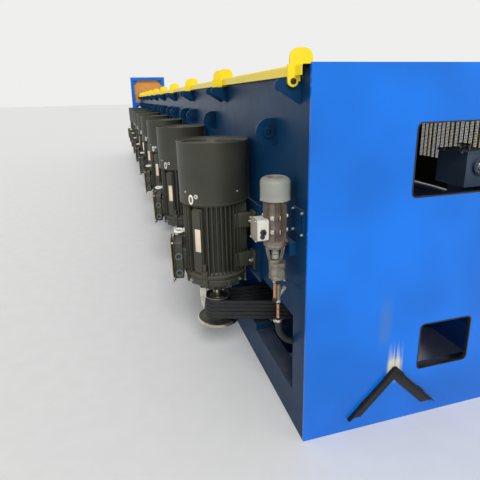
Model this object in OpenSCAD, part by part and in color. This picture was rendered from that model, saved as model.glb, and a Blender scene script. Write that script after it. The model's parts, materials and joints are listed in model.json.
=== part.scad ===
// Straight-line wire drawing machine with a row of vertical capstans.
// Sizes are in millimetres. X runs along the row, +Y is the operator side,
// -Y is the motor side and Z is up. The origin is on the floor, at mid-length
// and mid-depth, under the middle cross sill.

/* [Row] */
// Number of drawing blocks in the row
block_count = 9; // [2:1:12]
// Distance from one block to the next
block_pitch = 1300; // [1200:10:1500]
// Length from an end plate's outer face to the first block's boundary
end_bay = 100; // [60:5:160]

/* [Frame] */
// Height of the frame above the floor
frame_h = 1740; // [1600:10:1900]
// Depth of the frame from the rear wall's face to the front columns' face
frame_d = 1400; // [1300:10:1600]
// Thickness of the rear wall
wall_t = 12; // [8:1:20]
// Thickness of the end plates
end_t = 12; // [8:1:14]
// Height of the long base rails
rail_h = 190; // [150:5:220]
// Width of the base rails, the columns and the cross sills
rail_w = 100; // [80:5:120]
// Width of the column at each end of the rear face
corner_w = 144; // [120:2:200]
// Width of the columns between the blocks
column_w = 120; // [80:5:180]
// Height of the rear wall's lower edge
wall_low = 605; // [560:5:700]
// Height of the deck's upper face
deck_z = 980; // [900:5:1050]
// Thickness of the deck plate
deck_t = 20; // [12:1:30]
// Thickness of the bulkheads between the blocks
bulkhead_t = 10; // [6:1:20]
// Thickness of the removable front panels
panel_t = 6; // [3:1:10]

/* [End openings] */
// Width of the upper opening in an end plate
inlet_w = 600; // [300:10:700]
// Height of the upper opening
inlet_h = 324; // [200:4:400]
// Height of the upper opening's lower edge over the deck
inlet_rise = 194; // [150:2:240]
// Width of the lower opening in an end plate
port_w = 300; // [150:5:400]
// Height of the lower opening
port_h = 250; // [150:5:300]
// Height of the lower opening's lower edge above the floor
port_low = 274; // [240:2:320]
// Distance from the wall's face in to the upper opening
inlet_in = 495; // [400:5:600]
// Distance from the wall's face in to the lower opening
port_in = 615; // [500:5:700]
// Corner radius of both openings
opening_r = 24; // [10:1:40]

/* [Guard hoods] */
// Thickness of the folded hood sheet
hood_t = 3; // [2:0.5:4]
// Length of the rear flange that hangs over the wall
flange_drop = 40; // [30:1:44]
// Gap between neighbouring hoods
hood_gap = 10; // [8:1:20]
// Distance from the wall's face out to the hinge axis
hinge_out = 40; // [36:1:50]
// Distance from the top of the frame down to the hinge axis
hinge_drop = 66; // [62:1:72]
// Thickness of the hinge arms and of the bracket plates
arm_t = 12; // [8:1:16]
// Distance from a hood's end to the middle of its hinge arm
arm_inset = 70; // [50:1:100]
// Radius of the hinge pins
pin_r = 6; // [4:0.5:7]
// Radial clearance of a hinge pin in its ear
pin_gap = 0.1; // [0.05:0.01:0.1]
// Gap between a hinge arm and its bracket plate
arm_gap = 5; // [4:0.5:8]
// Length of a hood's viewing grille
grille_l = 760; // [400:10:900]
// Height of a hood's viewing grille
grille_h = 360; // [200:10:420]

/* [Motors] */
// Height of the motor's shaft above its feet
shaft_h = 200; // [180:5:225]
// Thickness of the plate that the motor stands on
motor_plate_t = 15; // [10:1:20]
// Distance from a block's boundary to its motor axis
motor_along = 750; // [650:10:800]
// Height of the fan cowl's top over the deck
cowl_rise = 410; // [360:5:440]
// Length of the fan cowl
cowl_l = 350; // [300:5:380]
// Length of the finned stator housing
stator_l = 440; // [400:5:480]
// Length of the drive-end shield
shield_l = 120; // [100:1:130]
// Radius of the fan cowl
cowl_r = 205; // [196:1:208]
// Radius over the cooling fins
fin_r = 192; // [160:1:195]
// Number of cooling fins around the stator housing
fin_count = 45; // [24:3:60]
// Diameter of the motor's shaft
shaft_d = 60; // [40:1:75]
// Radial clearance of the shaft in the drive-end shield
shaft_gap = 0.1; // [0.05:0.01:0.1]

/* [Belt drive] */
// Height of the lowest belt's underside
belt_z = 290; // [286:1:300]
// Number of belts side by side
belt_count = 5; // [2:1:5]
// Distance from one belt to the next
belt_pitch = 25.5; // [24:0.5:26]
// Width of one belt
belt_w = 22; // [16:0.5:22]
// Thickness of one belt
belt_t = 16; // [10:1:18]
// Radius at the back of the belts on the motor pulley
drive_r = 85; // [80:1:95]
// Radius at the back of the belts on the gearbox pulley
driven_r = 155; // [145:1:180]
// Radius of the skirt under the motor pulley
skirt_r = 133; // [120:1:150]
// Gap between the belts and the turning pulley
belt_gap = 1; // [0.5:0.1:2]
// Distance from the wall's face in to the gearbox pulley's axis
driven_in = 400; // [360:5:440]
// Distance from a block's middle to its gearbox pulley's axis
driven_along = 30; // [0:5:60]

/* [Drawing blocks] */
// Diameter of the capstan where the wire winds
capstan_d = 560; // [400:10:600]
// Height of a capstan
capstan_h = 480; // [300:10:560]
// Diameter of the gearbox's neck through the deck
neck_d = 260; // [200:10:320]
// Length of a gearbox housing along the row
gearbox_l = 560; // [400:10:640]
// Length of a die box along the row
die_l = 200; // [140:10:210]
// Radius of the guide rollers
roller_r = 90; // [60:5:110]

/* [Pump unit] */
// Distance from the end plate to the pump's axis
pump_along = 165; // [150:5:240]
// Distance from the wall's face out to the pump's axis
pump_out = 85; // [80:1:110]
// Radius of the pump's motor
pump_r = 67; // [60:1:72]

/* [Hidden] */
$fn = 64;
eps = 0.01;
// Gap at a seat that a curved face would otherwise touch
seat = 0.3;
row_l = 2 * end_bay + block_count * block_pitch;
rear_y = -frame_d / 2;
front_y = frame_d / 2;
near_x = row_l / 2;
blocks = [0:block_count - 1];
bounds = [0:block_count];
hood_names = [for (i = [1:block_count]) str("guard_hood_", i)];
pulley_names = [for (i = [1:block_count]) str("drive_pulley_", i)];

// Position along X of the boundary before block i, counted from the near end
function bound_x(i) = near_x - end_bay - i * block_pitch;
// Position along X of the middle of block i
function block_x(i) = bound_x(i) - block_pitch / 2;
// Position along X of the motor of block i
function motor_x(i) = bound_x(i) - motor_along;

// A block with rounded corners seen along X, in from the wall by y and up from z
module x_slot(x, y, w, z, h, r, t) {
    translate([x, rear_y + y + w / 2, z])
        rotate([90, 0, 90])
            linear_extrude(t) rounded(w, h, r);
}

// A rectangle with round corners, centred on X, standing on Y = 0
module rounded(w, h, r) {
    translate([-w / 2 + r, 0]) square([w - 2 * r, h]);
    translate([-w / 2, r]) square([w, h - 2 * r]);
    for (sx = [-1, 1], y = [r, h - r]) translate([sx * (w / 2 - r), y]) circle(r);
}

// A slot with round ends, centred, along Y
module stadium(w, l) {
    square([w, l - w], center = true);
    for (sy = [-1, 1]) translate([0, sy * (l - w) / 2]) circle(d = w, $fn = 32);
}

// A plate with its outline drawn in Y and Z, t thick from x
module x_plate(x, t) {
    translate([x, 0, 0]) rotate([90, 0, 90]) linear_extrude(t) children();
}

/* Frame */

frame_blue = "#0d6ee0";
wall_blue = "#0c4a94";
// The step under the belts leaves the belts free
sill_l = 240;
sill_h = 40;

module rear_base_rail() {
    color(frame_blue) {
        translate([-near_x + end_t, rear_y, 0]) cube([row_l - 2 * end_t, rail_w, rail_h]);
        for (i = blocks)
            translate([motor_x(i) - sill_l / 2, rear_y, rail_h - eps]) cube([sill_l, rail_w, sill_h]);
    }
}

module front_base_rail() {
    color(frame_blue)
        translate([-near_x + end_t, front_y - rail_w, 0])
            cube([row_l - 2 * end_t, rail_w, rail_h]);
}

// A sill under every boundary and every block's middle
module cross_sills() {
    color(frame_blue)
        for (k = [0:2 * block_count])
            translate([bound_x(k / 2) - rail_w / 2, rear_y + rail_w, 0])
                cube([rail_w, frame_d - 2 * rail_w, rail_h]);
}

// Span along X of the column at boundary i, as [start, length]
function column_span(i) =
    i == 0 ? [near_x - corner_w, corner_w - end_t]
    : i == block_count ? [-near_x + end_t, corner_w - end_t]
    : [bound_x(i) - column_w / 2, column_w];

module rear_columns() {
    color(frame_blue)
        for (i = bounds)
            translate([column_span(i)[0], rear_y, rail_h])
                cube([column_span(i)[1], rail_w, wall_low - rail_h]);
}

module front_columns() {
    color(frame_blue)
        for (i = bounds)
            translate([column_span(i)[0], front_y - rail_w, rail_h])
                cube([column_span(i)[1], rail_w, deck_z - deck_t - rail_h]);
}

// The wall stops short of the hoods' top sheets
wall_top = frame_h - 12;

module rear_wall() {
    color(wall_blue)
        translate([-near_x + end_t, rear_y, wall_low])
            cube([row_l - 2 * end_t, wall_t, wall_top - wall_low]);
}

module end_plate(x) {
    color(frame_blue)
        difference() {
            translate([x, rear_y, 0]) cube([end_t, frame_d, frame_h]);
            x_slot(x - 1, inlet_in, inlet_w, deck_z + inlet_rise, inlet_h, opening_r, end_t + 2);
            x_slot(x - 1, port_in, port_w, port_low, port_h, opening_r, end_t + 2);
        }
}

module near_end_plate() { end_plate(near_x - end_t); }
module far_end_plate() { end_plate(-near_x); }

module bulkheads() {
    color(frame_blue)
        for (i = [1:block_count - 1])
            translate([bound_x(i) - bulkhead_t / 2, rear_y + rail_w, rail_h])
                cube([bulkhead_t, frame_d - 2 * rail_w, deck_z - deck_t - rail_h]);
}

module deck() {
    color(frame_blue)
        difference() {
            translate([-near_x + end_t, rear_y + wall_t, deck_z - deck_t])
                cube([row_l - 2 * end_t, frame_d - wall_t, deck_t]);
            for (i = blocks)
                translate([block_x(i), 0, deck_z - deck_t - 1])
                    cylinder(d = neck_d + 2, h = deck_t + 2);
        }
}

module front_panels() {
    panel_margin = 10;
    color(frame_blue)
        for (i = blocks)
            translate([bound_x(i + 1) + panel_margin / 2, front_y, rail_h + panel_margin])
                cube([block_pitch - panel_margin, panel_t, deck_z - rail_h - 2 * panel_margin]);
}

// An inverted V of angle iron that is welded on the near end plate
module weld_angle() {
    angle_t = 6;
    reach = 112;
    drop = 96;
    leg_w = 30;
    apex_in = 483;
    apex_rise = 46;
    color("#262626")
        x_plate(near_x, angle_t)
            translate([rear_y + apex_in, port_low + apex_rise])
                polygon([[0, 0], [reach, -drop], [reach - leg_w, -drop], [0, -leg_w * drop / reach],
                         [leg_w - reach, -drop], [-reach, -drop]]);
}

/* Guard hoods */

hood_yellow = "#ffe832";
hinge_y = rear_y - hinge_out;
hinge_z = frame_h - hinge_drop;
hood_top = frame_h - 2;
hood_back = rear_y - 30;
hood_front = front_y - 10;
hood_low = deck_z + 10;
ear_r = 22;
lobe_rise = 60;

// Span along X of hood i, as [start, length]
function hood_span(i) =
    let (a = i == block_count - 1 ? -near_x + end_t + 8 : bound_x(i + 1) + hood_gap / 2,
         b = i == 0 ? near_x - end_t - 8 : bound_x(i) - hood_gap / 2)
    [a, b - a];

fold_r = 9;

// A quarter of a ring, hood_t wide, in the quadrant that sy and +Z look to
module fold(sy) {
    intersection() {
        difference() {
            circle(fold_r);
            circle(fold_r - hood_t);
        }
        translate([sy < 0 ? -fold_r : 0, 0]) square(fold_r);
    }
}

// The folded sheet in Y and Z: rear flange, top and front
module hood_profile() {
    back = hood_back - hood_t;
    translate([back, hood_top - hood_t - flange_drop]) square([hood_t, flange_drop + hood_t - fold_r]);
    translate([back + fold_r, hood_top - fold_r]) fold(-1);
    translate([back + fold_r, hood_top - hood_t]) square([hood_front - back - 2 * fold_r, hood_t]);
    translate([hood_front - fold_r, hood_top - fold_r]) fold(1);
    translate([hood_front - hood_t, hood_low]) square([hood_t, hood_top - fold_r - hood_low]);
}

// The swan-neck arm: an ear round the pin, a neck over the flange and a flat-topped lobe
module arm_profile() {
    lobe_back = hinge_y - 14;
    lobe_w = 98;
    lobe_foot = hood_top - hood_t;
    lobe_top = frame_h + lobe_rise;
    lobe_r = 38;
    difference() {
        union() {
            translate([hinge_y, hinge_z]) circle(ear_r);
            translate([hinge_y - ear_r, hinge_z]) square([ear_r + 30, hood_top - hinge_z]);
            intersection() {
                union() {
                    translate([lobe_back, lobe_foot]) square([lobe_w, lobe_top - lobe_r - lobe_foot]);
                    for (y = [lobe_r, lobe_w - lobe_r])
                        translate([lobe_back + y, lobe_top - lobe_r]) circle(lobe_r);
                    translate([lobe_back + lobe_r, lobe_foot])
                        square([lobe_w - 2 * lobe_r, lobe_top - lobe_foot]);
                }
                translate([lobe_back, lobe_foot]) square([lobe_w, lobe_top - lobe_foot]);
            }
        }
        translate([hinge_y, hinge_z]) circle(pin_r + pin_gap);
    }
}

module guard_hood(i) {
    s = hood_span(i);
    slot_n = 19;
    slot_pitch = grille_l / slot_n;
    cheek = 25;
    color(hood_yellow) {
        difference() {
            x_plate(s[0], s[1]) hood_profile();
            for (k = [0:slot_n - 1])
                translate([s[0] + s[1] / 2 - grille_l / 2 + (k + 0.5) * slot_pitch - slot_pitch * 0.36,
                           hood_front - hood_t - 1, (hood_low + hood_top) / 2 - grille_h / 2])
                    cube([slot_pitch * 0.72, hood_t + 2, grille_h]);
        }
        for (x = [s[0], s[0] + s[1] - hood_t])
            x_plate(x, hood_t)
                translate([hood_front - cheek, hood_low])
                    square([cheek - hood_t / 2, hood_top - fold_r - hood_low]);
        for (x = [s[0] + arm_inset, s[0] + s[1] - arm_inset])
            x_plate(x - arm_t / 2, arm_t) arm_profile();
    }
}

// Position along X of the bracket plate's start beside each arm of hood i
function bracket_starts(i) =
    let (s = hood_span(i))
    [s[0] + arm_inset + arm_t / 2 + arm_gap, s[0] + s[1] - arm_inset - arm_t / 2 - arm_gap - arm_t];

module bracket_profile() {
    reach = 110;
    top = hinge_z + 11;
    corner_r = 24;
    low = hinge_z - 90;
    translate([rear_y, 0]) {
        polygon([[0, low], [0, top], [-reach + corner_r, top], [-reach + corner_r, top - 2 * corner_r],
                 [-reach + corner_r + 4, top - 2 * corner_r - 2]]);
        translate([-reach + corner_r, top - corner_r]) circle(corner_r);
    }
}

module hinge_brackets() {
    color(wall_blue)
        for (i = blocks, side = [0, 1]) {
            x = bracket_starts(i)[side];
            x_plate(x, arm_t) bracket_profile();
            translate([side == 0 ? x - arm_gap - arm_t - 4 : x + eps, hinge_y, hinge_z])
                rotate([0, 90, 0]) cylinder(r = pin_r, h = 2 * arm_t + arm_gap + 4 - eps);
        }
}

// D-shaped lugs with a boss, one or two above each motor
module wall_lugs() {
    lug_t = 20;
    lug_r = 66;
    lug_out = 28;
    lug_rise = 63;
    near_along = 320;
    far_along = 1160;
    lug_z = cowl_top + lug_rise;
    color(wall_blue)
        for (i = blocks, k = i == 0 ? [0] : [0, 1])
            translate([bound_x(i) - (k == 0 ? near_along : far_along), rear_y, lug_z]) {
                difference() {
                    union() {
                        translate([0, -lug_out, -lug_r]) cube([lug_t, lug_out, 2 * lug_r]);
                        translate([0, -lug_out, 0]) rotate([0, 90, 0]) cylinder(r = lug_r, h = lug_t);
                        translate([0, -lug_out - 6, 0]) rotate([0, 90, 0]) cylinder(r = 26, h = lug_t + 12);
                    }
                    translate([-1, 0, -lug_r - 1]) cube([lug_t + 14, lug_r + 2, 2 * lug_r + 2]);
                    translate([lug_t + 2, -lug_out - 6, 0]) rotate([0, 90, 0]) cylinder(r = 12, h = 11);
                }
            }
}

// A small cover plate with two slots and an oblong hole
module slotted_cover() {
    cover_w = 118;
    cover_h = 116;
    cover_t = 8;
    cover_in = 90;
    cover_rise = 112;
    slot_l = 72;
    slot_w = 8;
    slot_out = 38;
    hole_l = 24;
    hole_w = 12;
    color(wall_blue)
        translate([near_x - cover_in, rear_y, deck_z + cover_rise])
            rotate([90, 0, 0])
                linear_extrude(cover_t)
                    difference() {
                        square([cover_w, cover_h], center = true);
                        for (x = [-slot_out, slot_out])
                            translate([x, 0]) stadium(slot_w, slot_l);
                        rotate(90) stadium(hole_w, hole_l);
                    }
}

/* Motors */

motor_grey = "#3d3d34";
// Directions round a motor, from +X, of its name panel and of its cable box
plate_turn = -42;
box_turn = -100;
motor_y = rear_y - motor_plate_t - shaft_h;
cowl_top = deck_z + cowl_rise;
stator_top = cowl_top - cowl_l;
shield_top = stator_top - stator_l;
shield_low = shield_top - shield_l;

module motor_plates() {
    plate_w = 500;
    plate_low = shield_top - 20;
    cowl_gap = 6;
    color(wall_blue)
        for (i = blocks)
            translate([motor_x(i) - plate_w / 2, rear_y - motor_plate_t, plate_low])
                cube([plate_w, motor_plate_t, stator_top - cowl_gap - plate_low]);
}

// Fan cowl: a drum that widens a little towards its upper lip
module motor_cowls() {
    taper = 4;
    lip_w = 16;
    dish_h = 6;
    color(motor_grey)
        for (i = blocks)
            translate([motor_x(i), motor_y, stator_top])
                rotate_extrude($fn = 96)
                    polygon([[0, 0], [cowl_r - taper - 3, 0], [cowl_r - taper, 3], [cowl_r, cowl_l - 3],
                             [cowl_r - 3, cowl_l], [cowl_r - lip_w, cowl_l],
                             [cowl_r - lip_w - 4, cowl_l - dish_h], [0, cowl_l - dish_h]]);
}

// Outline of the stator's fins as a toothed polygon
function fin_outline(root_r, tip_r, n, share) = [
    for (k = [0:n - 1], q = [0:3])
        let (a = 360 / n * (k + [0, 0, share, share][q]), r = [root_r, tip_r, tip_r, root_r][q])
        [r * cos(a), r * sin(a)]
];

module motor_stators() {
    root_r = fin_r - 26;
    foot_w = 70;
    foot_span = 318;
    foot_h = 110;
    foot_inset = [40, 50];
    ring_h = 18;
    pad_low = 35;
    pad_w = 80;
    color(motor_grey)
        for (i = blocks)
            translate([motor_x(i), motor_y, shield_top]) {
                linear_extrude(stator_l) polygon(fin_outline(root_r, fin_r, fin_count, 0.34));
                cylinder(r = fin_r + 2, h = ring_h);
                translate([0, 0, stator_l - ring_h]) cylinder(r = fin_r + 2, h = ring_h);
                for (sx = [-1, 1], z = [foot_inset[0], stator_l - foot_h - foot_inset[1]])
                    translate([sx * foot_span / 2 - foot_w / 2, 90, z]) cube([foot_w, shaft_h - 90, foot_h]);
                rotate(plate_turn)
                    translate([fin_r - 56, 0, pad_low]) rotate([90, 0, 90]) linear_extrude(60)
                        rounded(pad_w, stator_l - 20 - pad_low, 26);
            }
}

// Drive-end shield: a dished cover with a bearing hub and bolt lugs
module motor_shields() {
    hub_r = 78;
    hub_h = 26;
    dish_r = 150;
    dish_h = 52;
    rim_r = fin_r - 6;
    rim_low = 78;
    lug_low = 70;
    lug_w = 40;
    rib_t = 8;
    bore_h = 41;
    color(motor_grey)
        for (i = blocks)
            translate([motor_x(i), motor_y, shield_low])
                difference() {
                    union() {
                        rotate_extrude($fn = 96)
                            polygon([[0, 0], [hub_r, 0], [hub_r + 6, hub_h], [dish_r, dish_h],
                                     [rim_r, rim_low], [rim_r, shield_l], [0, shield_l]]);
                        for (a = [-34:90:236]) rotate(a)
                            translate([rim_r - 8, -lug_w / 2, lug_low]) cube([18, lug_w, shield_l - lug_low]);
                        for (a = [11:30:341]) rotate(a)
                            translate([0, rib_t / 2, 0]) rotate([90, 0, 0]) linear_extrude(rib_t)
                                polygon([[hub_r - 6, 12], [hub_r + 6, 12], [dish_r + 14, dish_h - 2],
                                         [dish_r + 14, rim_low], [hub_r - 6, rim_low]]);
                    }
                    translate([0, 0, -1]) cylinder(r = shaft_d / 2 + shaft_gap, h = bore_h);
                }
}

// Cable box on the motor's outer side, with two gland holes and a thin cover
module terminal_boxes() {
    box_w = 150;
    box_h = 235;
    box_low = -30;
    box_out = 58;
    neck_out = 8;
    lid_t = 6;
    lid_rim = 12;
    gland_d = 28;
    gland_rim = 9;
    gland_z = [40, 145];
    gland_mid = (box_out + neck_out) / 2;
    color(motor_grey)
        for (i = blocks)
            translate([motor_x(i), motor_y, shield_top + box_low])
                rotate(box_turn)
                    difference() {
                        union() {
                            translate([fin_r + seat, -50, 60]) cube([neck_out, 100, 120]);
                            translate([fin_r + neck_out, 0, 0]) rotate([90, 0, 90])
                                linear_extrude(box_out - neck_out) rounded(box_w, box_h, 14);
                            translate([fin_r + box_out, 0, -lid_rim]) rotate([90, 0, 90])
                                linear_extrude(lid_t) rounded(box_w + 2 * lid_rim, box_h + 2 * lid_rim, 18);
                            for (z = gland_z)
                                translate([fin_r + gland_mid, box_w / 2 - 1, z])
                                    rotate([-90, 0, 0]) cylinder(d = gland_d + 2 * gland_rim, h = 9);
                        }
                        for (z = gland_z)
                            translate([fin_r + gland_mid, box_w / 2 - 20, z])
                                rotate([-90, 0, 0]) cylinder(d = gland_d, h = 30);
                    }
}

module lifting_eyes() {
    eye_turn = -88;
    eye_drop = 160;
    eye_r = 21;
    color("#d9d9d2")
        for (i = blocks)
            translate([motor_x(i), motor_y, stator_top - eye_drop])
                rotate(eye_turn)
                    translate([fin_r + seat, 0, 0]) {
                        translate([eye_r + 6, 0, 0]) rotate([15, 0, 0]) rotate_extrude($fn = 48)
                            translate([eye_r, 0]) circle(6, $fn = 24);
                        rotate([0, 90, 0]) cylinder(r = 8, h = 8);
                    }
}

/* Belt drive */

driven_y = rear_y + driven_in;
// Turn from one corner of the belts' outline to the next
belt_step = 12;
driven_groove_r = (driven_r - belt_t) * cos(belt_step / 2) - seat;
belt_h = (belt_count - 1) * belt_pitch + belt_w;
// Height of the pulley flanges below and above the belts
flange_h = 8;
rim_h = belt_h + 2 * flange_h;
rim_z = belt_z - flange_h;
rim_top = rim_z + rim_h;
groove_r = drive_r - belt_t - belt_gap;

// Profile of the turning pulley: hub, grooved rim and a wide skirt below
module pulley_profile() {
    skirt_drop = 35;
    skirt_t = 16;
    flange_r = drive_r - 5;
    flange_t = 5;
    shaft_top = shield_low + 30;
    skirt_z = belt_z - skirt_drop;
    polygon([
        [0, skirt_z + skirt_t], [skirt_r - 12, skirt_z], [skirt_r, skirt_z], [skirt_r, skirt_z + skirt_t],
        [flange_r, rim_z + flange_t], [groove_r, rim_z + flange_t],
        [groove_r, rim_top - flange_t], [flange_r, rim_top - flange_t], [flange_r, rim_top],
        [shaft_d / 2, rim_top], [shaft_d / 2, shaft_top], [0, shaft_top]
    ]);
}

module drive_pulley(i) {
    color("#4a4a46")
        translate([motor_x(i), motor_y, 0]) rotate_extrude($fn = 96) pulley_profile();
}

// A closed loop round both pulleys, grown outwards by g from the belts' backs
module loop_outline(i, g) {
    x0 = motor_x(i);
    x1 = block_x(i) + driven_along;
    c = norm([x1 - x0, driven_y - motor_y]);
    a = atan2(driven_y - motor_y, x1 - x0);
    r0 = drive_r + g;
    r1 = driven_r + g;
    tilt = acos((r0 - r1) / c);
    wrap0 = 2 * (180 - tilt);
    wrap1 = 360 - wrap0;
    n0 = ceil(wrap0 / belt_step);
    n1 = ceil(wrap1 / belt_step);
    polygon(concat(
        [for (k = [0:n0]) let (t = a + tilt + k * wrap0 / n0) [x0 + r0 * cos(t), motor_y + r0 * sin(t)]],
        [for (k = [0:n1]) let (t = a - tilt + k * wrap1 / n1) [x1 + r1 * cos(t), driven_y + r1 * sin(t)]]
    ));
}

// One joined loop a block: the belts stand out from the thinner web between them
module drive_belts() {
    web = 3;
    color("#151515")
        for (i = blocks) {
            translate([0, 0, belt_z])
                linear_extrude(belt_h)
                    difference() {
                        loop_outline(i, -web);
                        loop_outline(i, -belt_t);
                    }
            for (k = [0:belt_count - 1])
                translate([0, 0, belt_z + k * belt_pitch])
                    linear_extrude(belt_w)
                        difference() {
                            loop_outline(i, 0);
                            loop_outline(i, -web - 1);
                        }
        }
}

// Driven pulleys under the gearboxes
module gearbox_pulleys() {
    web_r = driven_groove_r - 30;
    hub_r = 60;
    web_drop = 50;
    hub_h = rim_h + 40;
    color("#4a4a46")
        for (i = blocks)
            translate([block_x(i) + driven_along, driven_y, rim_z])
                rotate_extrude($fn = 96)
                    polygon([[0, 0], [driven_groove_r, 0], [driven_groove_r, rim_h],
                             [web_r, rim_h], [web_r, rim_h - web_drop], [hub_r, rim_h - web_drop],
                             [hub_r, hub_h], [0, hub_h]]);
}

// Housings that hang from the deck, with a neck up through it and an input hub below
module gearboxes() {
    foot_z = rim_top + 40;
    body_z = foot_z + 60;
    body_low_y = driven_y - 150;
    body_high_y = 260;
    flange_t = 40;
    rib_t = 16;
    rib_out = 22;
    rib_pitch = gearbox_l / 6;
    deck_low = deck_z - deck_t;
    color("#35568f")
        for (i = blocks)
            translate([block_x(i), 0, 0]) {
                translate([-gearbox_l / 2 + 40, body_low_y, body_z])
                    cube([gearbox_l - 80, body_high_y - body_low_y, deck_low - flange_t - body_z]);
                translate([-gearbox_l / 2, body_low_y - 30, deck_low - flange_t])
                    cube([gearbox_l, body_high_y - body_low_y + 60, flange_t]);
                translate([0, 0, deck_low - flange_t])
                    cylinder(d = neck_d, h = neck_top - (deck_low - flange_t));
                translate([driven_along, driven_y, foot_z]) cylinder(r = 75, h = body_z - foot_z + 1);
                for (sx = [-2:2])
                    translate([sx * rib_pitch - rib_t / 2, body_low_y - rib_out, body_z + rib_out])
                        cube([rib_t, body_high_y - body_low_y + 2 * rib_out,
                              deck_low - flange_t - body_z - rib_out + 1]);
            }
}

/* Drawing blocks */

neck_top = deck_z + 20;

module capstans() {
    r = capstan_d / 2;
    color("#9a9c9a")
        for (i = blocks)
            translate([block_x(i), 0, neck_top])
                rotate_extrude($fn = 96)
                    polygon([[0, 0], [r + 34, 0], [r + 34, 26], [r + 12, 44], [r, 80],
                             [r - 3, capstan_h - 20], [r - 14, capstan_h],
                             [r - 60, capstan_h], [r - 60, capstan_h - 24],
                             [95, capstan_h - 24], [95, capstan_h + 12], [0, capstan_h + 12]]);
}

// A die box on its pedestal beside each capstan
module die_boxes() {
    die_w = 150;
    die_h = 170;
    die_rise = 180;
    die_z = deck_z + die_rise;
    lid_rim = 6;
    holder_l = 16;
    color("#3c4e63")
        for (i = blocks)
            translate([block_x(i) + block_pitch / 2 - 40 - die_l, capstan_d / 2 - die_w / 2, 0]) {
                translate([0, 0, die_z]) cube([die_l, die_w, die_h]);
                translate([-lid_rim, -lid_rim, die_z + die_h])
                    cube([die_l + 2 * lid_rim, die_w + 2 * lid_rim, 8]);
                translate([-holder_l, die_w / 2, die_z + die_h / 2 + 20])
                    rotate([0, 90, 0]) cylinder(d = 80, h = die_l + 2 * holder_l);
                translate([die_l / 2 - 45, die_w / 2 - 45, deck_z]) cube([90, 90, die_z - deck_z + eps]);
            }
}

// A grooved roller on a post behind each capstan's outlet
module guide_rollers() {
    post_r = 22;
    roll_rise = 270;
    roll_z = deck_z + roll_rise;
    roll_w = 60;
    color("#8c8f8e")
        for (i = blocks)
            translate([block_x(i) - block_pitch / 2 + roller_r + 60, -capstan_d / 2, 0]) {
                translate([0, 0, deck_z]) cylinder(r = post_r, h = roll_z - deck_z + 10);
                translate([0, 0, roll_z])
                    rotate_extrude()
                        polygon([[0, 0], [roller_r, 0], [roller_r, 12], [roller_r - 16, roll_w / 2],
                                 [roller_r, roll_w - 12], [roller_r, roll_w], [30, roll_w], [30, roll_w + 14],
                                 [0, roll_w + 14]]);
            }
}

/* Pump unit */

pump_x = near_x - pump_along;
pump_y = rear_y - pump_out;
flange_r = 52;
// Distance from the pump's axis in to the strainer and the hose
pipe_in = 17;
hose_drop = 7;
strainer_l = 205;
gear_l = 82;
bell_l = 97;
ribs_l = 198;
strainer_low = wall_low - hose_drop;
gear_low = strainer_low + strainer_l;
bell_low = gear_low + gear_l;
bell_top = bell_low + bell_l;
pump_body_top = bell_top + ribs_l;

module pump_bracket() {
    color(wall_blue)
        translate([pump_x - 45, pump_y + flange_r + seat, bell_top - 60])
            cube([90, pump_out - flange_r - seat, 60]);
}

// Finned motor of the pump with a domed fan cowl and a terminal box towards -Y
module pump_motor() {
    fin_tip = pump_r - 13;
    cap_h = 103;
    dome_r = 26;
    box_w = 80;
    box_low = 22;
    box_h = 98;
    box_out = 98;
    color("#aaaca5")
        translate([pump_x, pump_y, 0]) {
            translate([0, 0, bell_top])
                linear_extrude(ribs_l) polygon(fin_outline(fin_tip - 6, fin_tip, 32, 0.4));
            translate([0, 0, bell_top]) cylinder(r = fin_tip - 2, h = 14);
            translate([0, 0, pump_body_top]) {
                cylinder(r = pump_r, h = cap_h - dome_r);
                translate([0, 0, cap_h - dome_r - eps]) cylinder(r = pump_r - dome_r, h = dome_r + eps);
                translate([0, 0, cap_h - dome_r]) rotate_extrude()
                    translate([pump_r - dome_r, 0]) intersection() {
                        circle(dome_r);
                        square(dome_r);
                    }
            }
            for (z = [bell_top + 52, pump_body_top - 82], a = [-34, 66]) rotate(a)
                translate([fin_tip - 10, -9, z]) cube([16, 18, 18]);
            translate([0, -box_out, bell_top + box_low]) rotate([-90, 0, 0])
                linear_extrude(box_out - fin_tip + 8) translate([0, -box_h]) rounded(box_w, box_h, 10);
            translate([0, -box_out - 6, bell_top + box_low - 3]) rotate([-90, 0, 0])
                linear_extrude(6 + eps) translate([0, -box_h - 6]) rounded(box_w + 6, box_h + 6, 12);
        }
}

// Bell with a coupling window, over a gear pump with bevelled corners
module pump_body() {
    bell_foot_r = 29;
    body_w = 72;
    bevel = 14;
    body_in = 12;
    port_h = 14;
    color("#82806f")
        translate([pump_x, pump_y, 0])
            difference() {
                union() {
                    translate([0, 0, bell_low - eps]) rotate_extrude()
                        polygon([[0, 0], [bell_foot_r, 0], [bell_foot_r + 1, 20],
                                 [flange_r - 9, bell_l - 26], [flange_r - 9, bell_l - 14],
                                 [flange_r, bell_l - 12], [flange_r, bell_l], [0, bell_l]]);
                    translate([0, body_in, gear_low]) linear_extrude(gear_l)
                        intersection() {
                            square(body_w, center = true);
                            rotate(45) square((body_w - bevel) * sqrt(2), center = true);
                        }
                    translate([body_w / 2 - 1, body_in, gear_low + gear_l / 2])
                        rotate([0, 90, 0]) cylinder(r = 18, h = port_h);
                }
                rotate(-20) translate([10, -18, bell_low + 24]) cube([60, 36, 46]);
            }
}

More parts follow.
